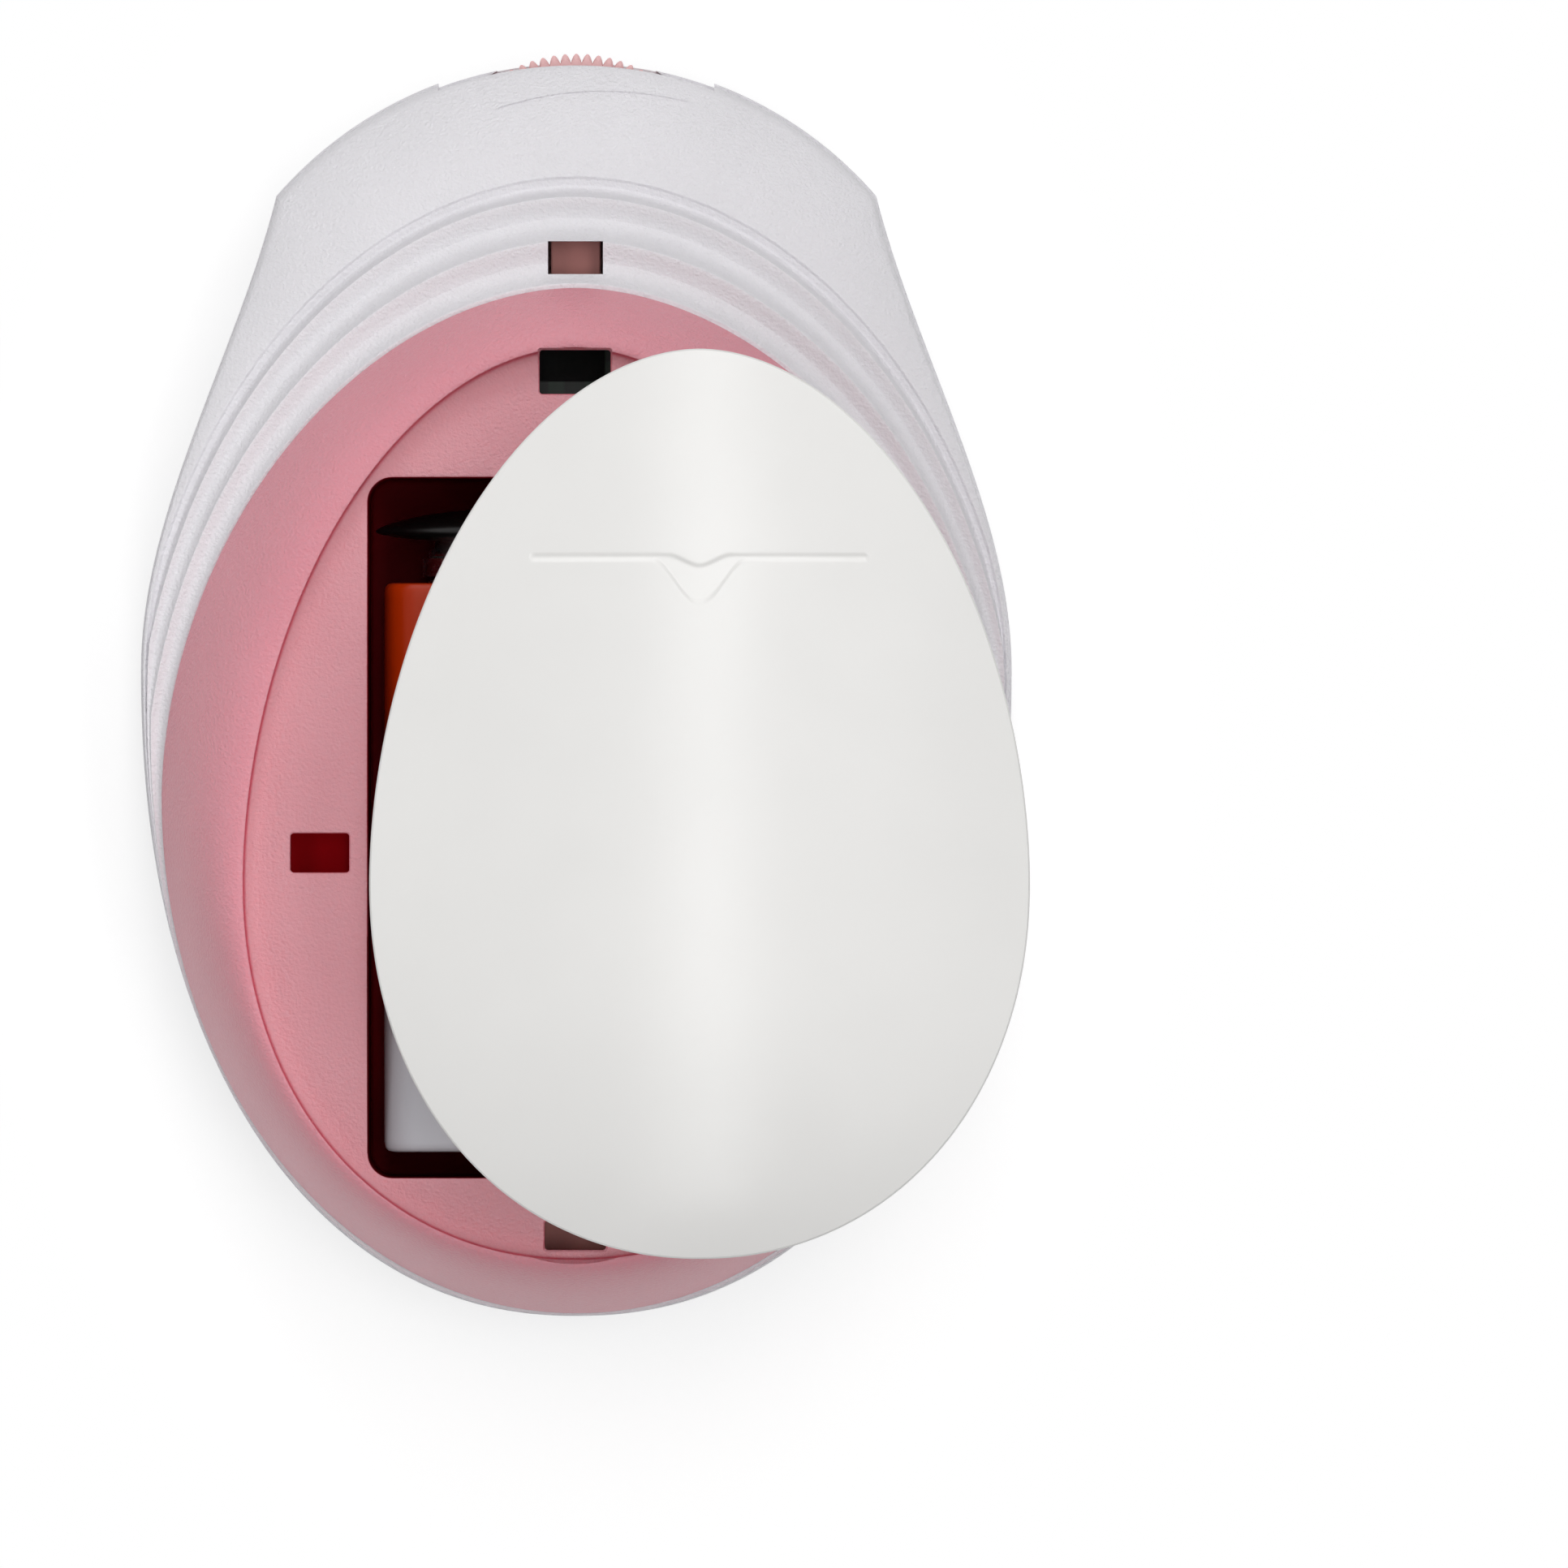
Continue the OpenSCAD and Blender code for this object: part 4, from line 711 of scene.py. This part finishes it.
def cover_rows():
    """The cover's top from the middle out, its rounded edge, its side, and its under side back in."""
    gap, top = COVER_GAP, RECESS_D
    edge_in, edge_down = 0.4, 0.35  # rounding of the edge
    spare = 0.06  # keeps the edge inside the construction's box
    rows = [floor_row(gap, s, top) for s in np.linspace(0.03, 0.97, 46)]
    rows.append(floor_row(gap + 0.42, 1, top))
    for a in np.linspace(0.2, 1, 7) * math.pi / 2:
        inset = gap + edge_in * (1 - math.sin(a)) + spare
        rows.append(floor_row(inset, 1, top - edge_down * (1 - math.cos(a))))
    for u in (0.3, 0.6, 0.9):
        inset, lift = mix(gap + 0.05, MOUTH_DRAFT + gap, u), mix(top - edge_down, COVER_LIFT, u)
        rows.append(floor_row(inset, 1, lift))
    rows += [floor_row(MOUTH_DRAFT + gap, s, COVER_LIFT) for s in (0.99, 0.8, 0.6, 0.4, 0.2)]
    return rows


def press_grip(piece):
    """Refines the mesh along the grip's edges and presses it in."""
    work = bmesh.new()
    work.from_mesh(piece.data)
    shift_x, _, shift_z = COVER_MOVE

    def near(face):
        c = face.calc_center_median() / MM
        x, y = c.x - shift_x, c.y
        if face.normal.z < 0.5 or abs(x) > GRIP_HALF + 1.2:
            return False
        return GRIP_Y - GRIP_DIP - 1.4 < y < GRIP_Y + 1.2 and (abs(x) < 5.2 or abs(y - GRIP_Y + 0.1) < 0.9)

    for _ in range(3):
        edges = list({e for f in work.faces if near(f) for e in f.edges})
        bmesh.ops.subdivide_edges(work, edges=edges, cuts=1, use_grid_fill=True)
    for v in work.verts:
        x, y, z = v.co / MM
        x -= shift_x
        top = float(crown(x, y)) + RECESS_D + shift_z
        if abs(z - top) < 0.12:
            v.co.z = (top - float(grip_depth(np.array(x), np.array(y)))) * MM
    bmesh.ops.triangulate(work, faces=[f for f in work.faces if len(f.verts) > 4])
    work.to_mesh(piece.data)
    work.free()


def tab_box(x, y, width, length):
    """Lower and upper corner of the cover's tab over a slot."""
    wide = width - TAB_GAP - TAB_ROOM
    long = length - 2 * TAB_GAP
    z = float(crown(x, y))
    low = np.array([x - width / 2 + TAB_GAP, y - long / 2, z - TAB_REACH]) + COVER_MOVE
    high = low + (wide, long, TAB_REACH + COVER_LIFT + 0.8)
    return low, high


def make_cover():
    mid = float(crown(0, MOUTH_Y))
    rows = [row + COVER_MOVE for row in cover_rows()]
    first = np.array([0, MOUTH_Y, mid + RECESS_D]) + COVER_MOVE
    last = np.array([0, MOUTH_Y, mid + COVER_LIFT]) + COVER_MOVE
    cover = loft("cover_skin", rows, first, last, body="cover", slot="white_cover")
    press_grip(cover)
    carve(cover, [block("tab", *tab_box(*slot)) for slot in SLOTS], "UNION")
    return stand_in(cover, 30, "battery_cover")


# ---- volume wheel ----
def make_wheel():
    """Thumbwheel with rounded teeth, chamfered faces and a dished web."""
    root, per_tooth = WHEEL_R - TOOTH_D, 12
    count = WHEEL_TEETH * per_tooth
    angles = math.pi / 2 + np.arange(count) * TAU / count
    phase = (np.arange(count) % per_tooth) / per_tooth
    tooth = np.abs(np.cos(math.pi * phase)) ** 0.85
    tooth_r = root + TOOTH_D * tooth
    # half a section from the shaft out: radius, share of the teeth in it, depth below the wheel's face
    half = [(SHAFT_R + 0.02, 0, 0), (3.2, 0, 0), (3.4, 0, 0.2), (3.4, 0, 0.7), (9.3, 0, 0.7), (9.45, 0, 0.2),
            (9.65, 0, 0), (root - 0.1, 0.55, 0), (root, 1, 0.35)]
    low, high = WHEEL_Z, WHEEL_Z + WHEEL_T
    rings = [(radius, share, low + depth) for radius, share, depth in half]
    rings += [(radius, share, high - depth) for radius, share, depth in half[::-1]]
    rows = []
    for radius, share, z in rings:
        r = radius + (tooth_r - root) * share
        rows.append(np.column_stack([r * np.cos(angles), WHEEL_Y + r * np.sin(angles), np.full(count, z)]))
    wheel = loft("wheel_skin", rows, ring=True, body="volume_knob", slot="pink_wheel")
    return stand_in(wheel, 35, "volume_wheel")


# ---- battery ----
def node_box(node):
    """Lower and upper corner of a construction node, in millimetres."""
    low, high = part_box(node)
    return [v / MM for v in low], [v / MM for v in high]


def make_battery():
    """Jacketed nine volt battery: rounded case with crimped rims at both ends."""
    (x0, y0, z0), (x1, y1, z1) = node_box("battery_case")
    width, thick = x1 - x0, z1 - z0
    cx, cz = (x0 + x1) / 2, (z0 + z1) / 2
    corner_r = 2.6

    def ring(shrink, y):
        radius = max(0.3, corner_r - shrink)
        path = rounded_rectangle(width - 2 * shrink, thick - 2 * shrink, radius, 12, 10)
        return np.column_stack([path[:, 0] + cx, np.full(len(path), y), path[:, 1] + cz])

    # each end: how far the ring is drawn in, and its distance from the end
    tail_end = [(2.4, 0.5), (1.5, 0.45), (1.2, 0.1), (0.8, 0), (0.35, 0.1), (0.1, 0.35), (0, 0.8)]
    head_end = [(0, 0.8), (0.08, 0.35), (0.3, 0.08), (0.6, 0), (0.78, 0.12), (0.82, 1.15)]
    rows = [ring(shrink, y0 + depth) for shrink, depth in tail_end]
    rows += [ring(0, y) for y in np.linspace(y0 + 1.4, y1 - 1.4, 30)]
    rows += [ring(shrink, y1 - depth) for shrink, depth in head_end]
    first, last = [cx, y0 + 0.5, cz], [cx, y1 - 1.18, cz]
    case = loft("battery_skin", rows, first, last, body="housing", slot="battery_jacket")
    return stand_in(case, 35, "battery_case")


def make_connector():
    """Soft snap connector: a vinyl wing, thick over the contacts and thin at its ends."""
    (x0, y0, z0), (x1, y1, z1) = node_box("snap_connector")
    cx, cz, tall = (x0 + x1) / 2, (z0 + z1) / 2, y1 - y0
    half, deep, power = (x1 - x0) / 2 + WING_MORE, (z1 - z0) / 2, 2.6
    angles = np.arange(120) * TAU / 120
    c, s = np.cos(angles), np.sin(angles)
    px = half * np.sign(c) * np.abs(c) ** (2 / power)
    pz = deep * np.sign(s) * np.abs(s) ** (2 / power)

    def row(share, side):
        x, z = px * share, pz * share
        across, along = np.abs(x) / half, np.abs(z) / deep
        under = 0.3 + 0.08 * across**2
        over = 1 - 0.34 * across**2.2 - 0.2 * along**3
        middle, swell = (under + over) / 2, (over - under) / 2 * math.sqrt(1 - share**8)
        return np.column_stack([x + cx, y0 + tall * (middle + side * swell), z + cz])

    shares = [0.05, 0.2, 0.35, 0.5, 0.62, 0.74, 0.84, 0.91, 0.96, 0.985, 0.997]
    rows = [row(v, -1) for v in shares] + [row(1, 0)] + [row(v, 1) for v in shares[::-1]]
    wing = loft("connector_skin", rows, [cx, y0, cz], [cx, y1, cz], body="housing", slot="vinyl_black")
    return stand_in(wing, 50, "snap_connector")


def make_snaps():
    """Metal sleeves of the snap connector, between the battery's terminals and the vinyl wing."""
    contact_low, contact_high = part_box("snap_contacts")
    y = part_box("snap_connector")[0].y / MM - 0.1
    z = (contact_low.z + contact_high.z) / 2 / MM
    for side, node in (("left", "battery_positive_stud"), ("right", "battery_negative_crown")):
        low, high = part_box(node)
        radius = (high.x - low.x) / 2 / MM
        centre = np.array([(low.x + high.x) / 2 / MM, 0, z])
        profile = [(radius - 0.5, y), (radius - 0.15, y + 0.05), (radius, y + 0.25), (radius - 0.05, y + 0.6)]
        profile += [(radius - 0.4, y + 0.95), (radius - 0.5, y + 1.7)]
        name = f"snap_sleeve_{side}"
        sleeve = turned(name, profile, centre, 96, "Y", body="housing", slot="terminal_nickel")
        finish_shape(sleeve, 40)
        yield sleeve


# ---- materials ----
LEVEL, STEEP = 0.85, 0.4  # upward share of the surface's normal where the painted shade of the fold begins and is full


def material(name):
    m = bpy.data.materials.new(name)
    m.use_nodes = True
    nodes, links = m.node_tree.nodes, m.node_tree.links
    return m, nodes, links, nodes["Principled BSDF"]


def colour(hex_text):
    """Linear colour from an sRGB hex text."""
    values = [int(hex_text[i:i + 2], 16) / 255 for i in (0, 2, 4)]
    return (*[v / 12.92 if v <= 0.04045 else ((v + 0.055) / 1.055) ** 2.4 for v in values], 1)


def place_node(nodes):
    return nodes.new("ShaderNodeTexCoord").outputs["Object"]


def noise(nodes, links, scale, detail=3.0, roughness=0.55):
    n = nodes.new("ShaderNodeTexNoise")
    n.inputs["Scale"].default_value = scale
    n.inputs["Detail"].default_value = detail
    n.inputs["Roughness"].default_value = roughness
    links.new(place_node(nodes), n.inputs["Vector"])
    return n.outputs["Fac"]


def ramp(nodes, links, value, stops):
    r = nodes.new("ShaderNodeValToRGB")
    while len(r.color_ramp.elements) < len(stops):
        r.color_ramp.elements.new(0.5)
    for element, (spot, tint) in zip(r.color_ramp.elements, stops):
        element.position = spot
        element.color = tint if len(tint) == 4 else (*tint, 1)
    links.new(value, r.inputs["Fac"])
    return r.outputs["Color"]


def spread(nodes, links, value, low, high):
    """A value between 0 and 1, spread from low to high."""
    span = nodes.new("ShaderNodeMapRange")
    span.inputs["To Min"].default_value, span.inputs["To Max"].default_value = low, high
    links.new(value, span.inputs["Value"])
    return span.outputs["Result"]


def between(nodes, links, value, start, end, interpolation="LINEAR"):
    """0 where the value is at the start, 1 where it is at the end."""
    span = nodes.new("ShaderNodeMapRange")
    span.interpolation_type = interpolation
    span.inputs["From Min"].default_value, span.inputs["From Max"].default_value = start, end
    links.new(value, span.inputs["Value"])
    return span.outputs["Result"]


def combine(nodes, links, operation, first, second):
    """Math node on a socket and another socket or a number."""
    node = nodes.new("ShaderNodeMath")
    node.operation = operation
    links.new(first, node.inputs[0])
    if isinstance(second, float):
        node.inputs[1].default_value = second
    else:
        links.new(second, node.inputs[1])
    return node.outputs[0]


def bump(nodes, links, shader, height, strength, distance):
    b = nodes.new("ShaderNodeBump")
    b.inputs["Strength"].default_value = strength
    b.inputs["Distance"].default_value = distance * MM
    links.new(height, b.inputs["Height"])
    links.new(b.outputs["Normal"], shader.inputs["Normal"])


def paint_fold_shade(nodes, links, even, fold_shade):
    """The even colour where the surface lies level, running into a darker red painted shade of the fold where
    it is steep.
    """
    split = nodes.new("ShaderNodeSeparateXYZ")
    links.new(nodes.new("ShaderNodeNewGeometry").outputs["Normal"], split.inputs[0])
    blend = nodes.new("ShaderNodeMixRGB")
    blend.inputs["Color2"].default_value = colour(fold_shade)
    links.new(between(nodes, links, split.outputs["Z"], LEVEL, STEEP), blend.inputs["Fac"])
    links.new(even, blend.inputs["Color1"])
    return blend.outputs["Color"]


def moulded(name, tint, shade, rough=(0.42, 0.52), grain=0.1, scale=3200, gloss=0.4, depth=0.0, fold_shade=None):
    """Moulded plastic with fine grain, a faint mottling and slightly uneven sheen."""
    m, nodes, links, shader = material(name)
    even = ramp(nodes, links, noise(nodes, links, 60, 2), [(0.35, colour(shade)), (0.65, colour(tint))])
    # on steep faces the colour can run into a painted shade of the fold
    links.new(paint_fold_shade(nodes, links, even, fold_shade) if fold_shade else even, shader.inputs["Base Color"])
    fine = noise(nodes, links, scale, 2)
    links.new(spread(nodes, links, fine, *rough), shader.inputs["Roughness"])
    bump(nodes, links, shader, fine, grain, 0.15)
    shader.inputs["Specular IOR Level"].default_value = gloss
    if depth:
        # light wanders a little way through the plastic, red the furthest
        shader.inputs["Subsurface Weight"].default_value = depth
        shader.inputs["Subsurface Radius"].default_value = (1.0, 0.3, 0.3)
        shader.inputs["Subsurface Scale"].default_value = 1.6 * MM
    return m


def white_shell():
    return moulded("white_shell", "e5e3e7", "e2e0e4", (0.36, 0.46), 0.9, 3700)


def pink_shell():
    return moulded("pink_shell", "df95a1", "db919d", (0.34, 0.44), 0.9, 3700, gloss=0.5, depth=0.25)


def pink_recess():
    """Pink of the recess, painted lighter than the dome's band as painted light on its flat floor, and
    painted redder in the fold at its lip as painted shade.
    """
    return moulded("pink_recess", "e6a4ad", "e29fa8", (0.38, 0.46), 0.9, 3700, depth=0.25, fold_shade="cf5568")


# Dark maroon painted shade for the deep battery compartment, whose walls are the dome's pink plastic.
def compartment_painted_shade():
    return moulded("compartment_painted_shade", "7c0d15", "6a0b12", rough=(0.45, 0.6), grain=0.1, gloss=0.04)


# Dark red painted shade for the cups under the side slots.
def slot_painted_shade():
    return moulded("slot_painted_shade", "b80012", "9a000e", rough=(0.5, 0.6), gloss=0.03)


# Brownish pink painted shade for the dome's pink latch tongue and the tail slot's cup, which lie in shade
# behind openings.
def latch_painted_shade():
    return moulded("latch_painted_shade", "b07872", "a26c68", rough=(0.4, 0.5), gloss=0.15)


def cover_white():
    return moulded("cover_white", "ebeae8", "e8e7e5", rough=(0.22, 0.25), grain=0.02, gloss=0.5)


def vinyl_black():
    return moulded("vinyl_black", "141414", "0b0b0b", rough=(0.25, 0.4), grain=0.05)


def split_at(nodes, links, axis, spot, width):
    """0 below the spot along an axis, in millimetres, and 1 above it."""
    split = nodes.new("ShaderNodeSeparateXYZ")
    links.new(place_node(nodes), split.inputs[0])
    start, end = (spot - width / 2) * MM, (spot + width / 2) * MM
    return between(nodes, links, split.outputs[axis], start, end)


def battery_jacket():
    """Printed jacket: orange towards the terminals, white towards the other end, both painted darker as
    painted shade of the compartment under the cover.
    """
    m, nodes, links, shader = material("battery_jacket")
    (_, low_y, _), (_, high_y, _) = node_box("battery_case")
    half = split_at(nodes, links, "Y", mix(low_y, high_y, 0.51), 0.06)
    # both print colours are painted darker than the jacket's own, as painted shade
    tint = ramp(nodes, links, half, [(0.0, colour("c8c8ce")), (1.0, colour("b43002"))])
    links.new(tint, shader.inputs["Base Color"])
    bump(nodes, links, shader, noise(nodes, links, 2600, 2), 0.05, 0.04)
    links.new(spread(nodes, links, noise(nodes, links, 300), 0.3, 0.4), shader.inputs["Roughness"])
    shader.inputs["Specular IOR Level"].default_value = 0.22
    return m


def metal(name, tint, rough=(0.12, 0.25), scale=900):
    """Bright metal, a little duller and rougher in patches."""
    m, nodes, links, shader = material(name)
    worn = noise(nodes, links, scale)
    base = colour(tint)
    dull = tuple(v * 0.8 for v in base[:3])
    links.new(ramp(nodes, links, worn, [(0.3, dull), (0.7, base)]), shader.inputs["Base Color"])
    shader.inputs["Metallic"].default_value = 1.0
    links.new(spread(nodes, links, worn, *rough), shader.inputs["Roughness"])
    bump(nodes, links, shader, worn, 0.04, 0.03)
    return m


def board_green():
    """Solder mask with darker tracks."""
    m, nodes, links, shader = material("board_green")
    weave = nodes.new("ShaderNodeTexVoronoi")
    weave.distance = "CHEBYCHEV"
    weave.inputs["Scale"].default_value = 420
    links.new(place_node(nodes), weave.inputs["Vector"])
    tint = ramp(nodes, links, weave.outputs["Distance"], [(0.3, colour("10301a")), (0.42, colour("1d4a2a"))])
    links.new(tint, shader.inputs["Base Color"])
    bump(nodes, links, shader, weave.outputs["Distance"], 0.08, 0.05)
    shader.inputs["Roughness"].default_value = 0.35
    return m


def put_on(m, *nodes_or_pieces):
    for target in nodes_or_pieces:
        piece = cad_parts[target] if isinstance(target, str) else target
        piece.data.materials.clear()
        piece.data.materials.append(m)
        if isinstance(target, str):
            piece.data.shade_smooth()
            piece.data.set_sharp_from_angle(angle=math.radians(30))


def line_recess(dome, floor, compartment):
    """Gives the smooth recess its pink, painted lighter as painted light on its flat floor, and the battery
    compartment in it a dark red painted shade.
    """
    dome.data.materials.append(floor)
    dome.data.materials.append(compartment)
    for face in dome.data.polygons:
        c = face.center / MM
        z = float(crown(c.x, c.y))
        if z - 0.4 < c.z < z + RECESS_D - 0.08 and inside_mouth(c.x, c.y):
            face.material_index = 1
        # faces of the battery compartment take the dark red painted shade
        in_pocket = abs(c.x) < POCKET_W / 2 + 0.09 and -POCKET_BACK - 0.09 < c.y < POCKET_FRONT + 0.09
        if in_pocket and POCKET_Z - 0.1 < c.z < z - 0.1:
            face.material_index = 2


def inside_mouth(x, y):
    dy = y - MOUTH_Y
    power, reach = (MOUTH_POWERS[0], MOUTH_HEAD) if dy > 0 else (MOUTH_POWERS[1], MOUTH_TAIL)
    return (abs(x) / MOUTH_HALF) ** power + (abs(dy) / reach) ** power < 1.0


# ---- stage ----
LOOK_X, LOOK_Y, LOOK_Z = 17.03, -4.38, 20.0  # middle of the picture
CAMERA_UP, FIELD, SENSOR = 3000.0, 128.29, 36  # height of the camera, width that it sees, width of its sensor
WORLD_LIGHT = 0.11
PAPER, PAPER_LIFT = 0.6, 0.56  # the floor's colour, and how much it is lifted towards white where it is seen


def make_camera():
    data = bpy.data.cameras.new("camera")
    data.sensor_width = SENSOR
    data.lens = SENSOR * CAMERA_UP / FIELD
    data.clip_start, data.clip_end = 0.1, 20
    camera = bpy.data.objects.new("camera", data)
    camera.location = (LOOK_X * MM, LOOK_Y * MM, (CAMERA_UP + LOOK_Z) * MM)
    bpy.context.scene.collection.objects.link(camera)
    bpy.context.scene.camera = camera


def add_light(name, place, size, power, aim=(0, 0, 0.02), gloss=True):
    """Soft rectangular lamp, its length along the body, at a place and of a size in metres."""
    data = bpy.data.lights.new(name, "AREA")
    data.shape = "RECTANGLE"
    data.size, data.size_y = size
    data.energy = power
    lamp = bpy.data.objects.new(name, data)
    lamp.location = place
    back = (Vector(place) - Vector(aim)).normalized()
    side = Vector((0, 1, 0)).cross(back).normalized()
    lamp.rotation_mode = "QUATERNION"
    lamp.rotation_quaternion = Matrix((side, back.cross(side), back)).transposed().to_quaternion()
    lamp.visible_camera = False
    lamp.visible_glossy = gloss
    bpy.context.scene.collection.objects.link(lamp)


def seen_straight(nodes, links):
    """1 for a look from the camera, through glass or in a mirror; 0 for light that falls on the object."""
    path = nodes.new("ShaderNodeLightPath")
    seen = path.outputs["Is Camera Ray"]
    for ray in ("Is Transmission Ray", "Is Glossy Ray"):
        seen = combine(nodes, links, "MAXIMUM", seen, path.outputs[ray])
    return seen


def make_world():
    world = bpy.data.worlds.new("world")
    bpy.context.scene.world = world
    world.use_nodes = True
    nodes, links = world.node_tree.nodes, world.node_tree.links
    back = nodes["Background"]
    strength = spread(nodes, links, seen_straight(nodes, links), WORLD_LIGHT, 1.0)
    links.new(strength, back.inputs["Strength"])
    back.inputs["Color"].default_value = (1, 1, 1, 1)


def paper_floor():
    """Pale paper that runs into plain white away from the object."""
    m = bpy.data.materials.new("floor")
    m.use_nodes = True
    nodes, links = m.node_tree.nodes, m.node_tree.links
    nodes.clear()
    seen = seen_straight(nodes, links)
    paper = nodes.new("ShaderNodeBsdfDiffuse")
    paper.inputs["Color"].default_value = (PAPER, PAPER, PAPER, 1)
    lift = nodes.new("ShaderNodeEmission")
    links.new(combine(nodes, links, "MULTIPLY", seen, PAPER_LIFT), lift.inputs["Strength"])
    near = nodes.new("ShaderNodeAddShader")
    links.new(paper.outputs[0], near.inputs[0])
    links.new(lift.outputs[0], near.inputs[1])
    # distance from the middle, over an oval as long as the body
    squeeze = nodes.new("ShaderNodeVectorMath")
    squeeze.operation = "MULTIPLY"
    squeeze.inputs[1].default_value = (1.42, 1, 1)
    links.new(place_node(nodes), squeeze.inputs[0])
    length = nodes.new("ShaderNodeVectorMath")
    length.operation = "LENGTH"
    links.new(squeeze.outputs[0], length.inputs[0])
    far = between(nodes, links, length.outputs["Value"], 0.05, 0.075, "SMOOTHSTEP")
    glow = nodes.new("ShaderNodeEmission")
    glow.inputs["Strength"].default_value = 1.0
    both = nodes.new("ShaderNodeMixShader")
    links.new(combine(nodes, links, "MULTIPLY", far, seen), both.inputs[0])
    links.new(near.outputs[0], both.inputs[1])
    links.new(glow.outputs[0], both.inputs[2])
    links.new(both.outputs[0], nodes.new("ShaderNodeOutputMaterial").inputs["Surface"])
    return m


def make_floor():
    """White floor that keeps the object's shadow near it."""
    half, z = 3000.0, -0.3
    corners = [(-half, -half, z), (half, -half, z), (half, half, z), (-half, half, z)]
    floor = new_object("floor", corners, [(0, 1, 2, 3)])
    floor.data.materials.append(paper_floor())


def make_lights():
    add_light("overhead", (0.035, -0.15, 1.3), (0.16, 2.1), 5.8, aim=(0, -0.15, 0.02))
    add_light("right_key", (0.4, 0.0, 1.2), (0.26, 1.4), 4.9, gloss=False)
    add_light("left_key", (-0.6, 0.1, 1.1), (0.26, 1.4), 2.4, gloss=False)
    add_light("head_fill", (0.0, 1.1, 0.75), (0.9, 0.5), 4.6)
    add_light("left_strip", (-1.1, 0.15, 0.3), (0.5, 1.2), 1.7)
    add_light("right_strip", (1.1, 0.15, 0.3), (0.5, 1.2), 1.2)


# ---- assembly ----
def dress_small_parts():
    """Materials of the construction's own parts, which show through openings or not at all."""
    plain = (0.42, 0.52)
    plastics = [
        ("battery_plate", "1a1a1a", "101010", (0.5, 0.7), ["battery_top_plate"]),
        ("lead_red", "a01412", "8c100e", (0.35, 0.45), ["battery_lead_red"]),
        ("chip_black", "1c1c1e", "141416", (0.5, 0.65), ["board_chips"]),
        ("capacitor_sleeve", "1c2440", "161c34", (0.25, 0.35), ["board_capacitors"]),
        ("jack_black", "202022", "18181a", (0.4, 0.55),
         ["headphone_jack_left", "headphone_jack_right", "potentiometer_base"]),
        ("gasket_rubber", "38383a", "303032", (0.6, 0.75), ["probe_gasket"]),
        ("ceramic", "d0c8b0", "c8c0a6", plain, ["transmit_crystal", "receive_crystal"]),
        ("cork", "9a7850", "80603c", (0.7, 0.9), ["probe_divider"]),
        ("backing_resin", "5c4030", "4c3424", plain, ["probe_backing"]),
        ("cap_plastic", "b8b8b8", "b0b0b0", plain, ["probe_cap"]),
        ("lead_grey", "58585a", "4c4c4e", plain, ["probe_lead"]),
    ]
    for name, tint, shade, rough, targets in plastics:
        put_on(moulded(name, tint, shade, rough=rough), *targets)
    put_on(moulded("probe_grey", "c4ccd2", "bec6cc", rough=(0.22, 0.3), grain=0.03), "probe_face")
    put_on(metal("screw_steel", "b8b8bc", (0.25, 0.4)), "housing_screws", "board_screws", "wheel_screw")
    put_on(metal("shaft_brass", "c8a860"), "potentiometer_shaft")
    put_on(board_green(), "main_board")


collar, dome, cover, bottom = make_collar(), make_dome(), make_cover(), make_bottom()
wheel, battery, connector = make_wheel(), make_battery(), make_connector()
ribs, wells, tongue, snaps = list(make_ribs()), list(make_wells()), make_tongue(), list(make_snaps())

put_on(white_shell(), collar, bottom, "probe_bezel")
put_on(pink_shell(), dome, *ribs)
# the cups under the side slots get a dark red painted shade
put_on(slot_painted_shade(), *wells[1:])
# the tail slot's cup and the latch tongue get a brownish painted shade
put_on(latch_painted_shade(), wells[0], tongue)
put_on(cover_white(), cover)
put_on(moulded("wheel_pink", "f0c2c2", "eababa", grain=0.08), wheel)
line_recess(dome, pink_recess(), compartment_painted_shade())
put_on(battery_jacket(), battery)
put_on(vinyl_black(), connector, "battery_lead_black")
nickel = metal("nickel", "e6e2e0", (0.2, 0.35))
put_on(nickel, *snaps, "battery_positive_stud", "battery_negative_crown", "snap_contacts")
dress_small_parts()

make_camera()
make_world()
make_floor()
make_lights()
bpy.context.scene.view_settings.view_transform = "Standard"
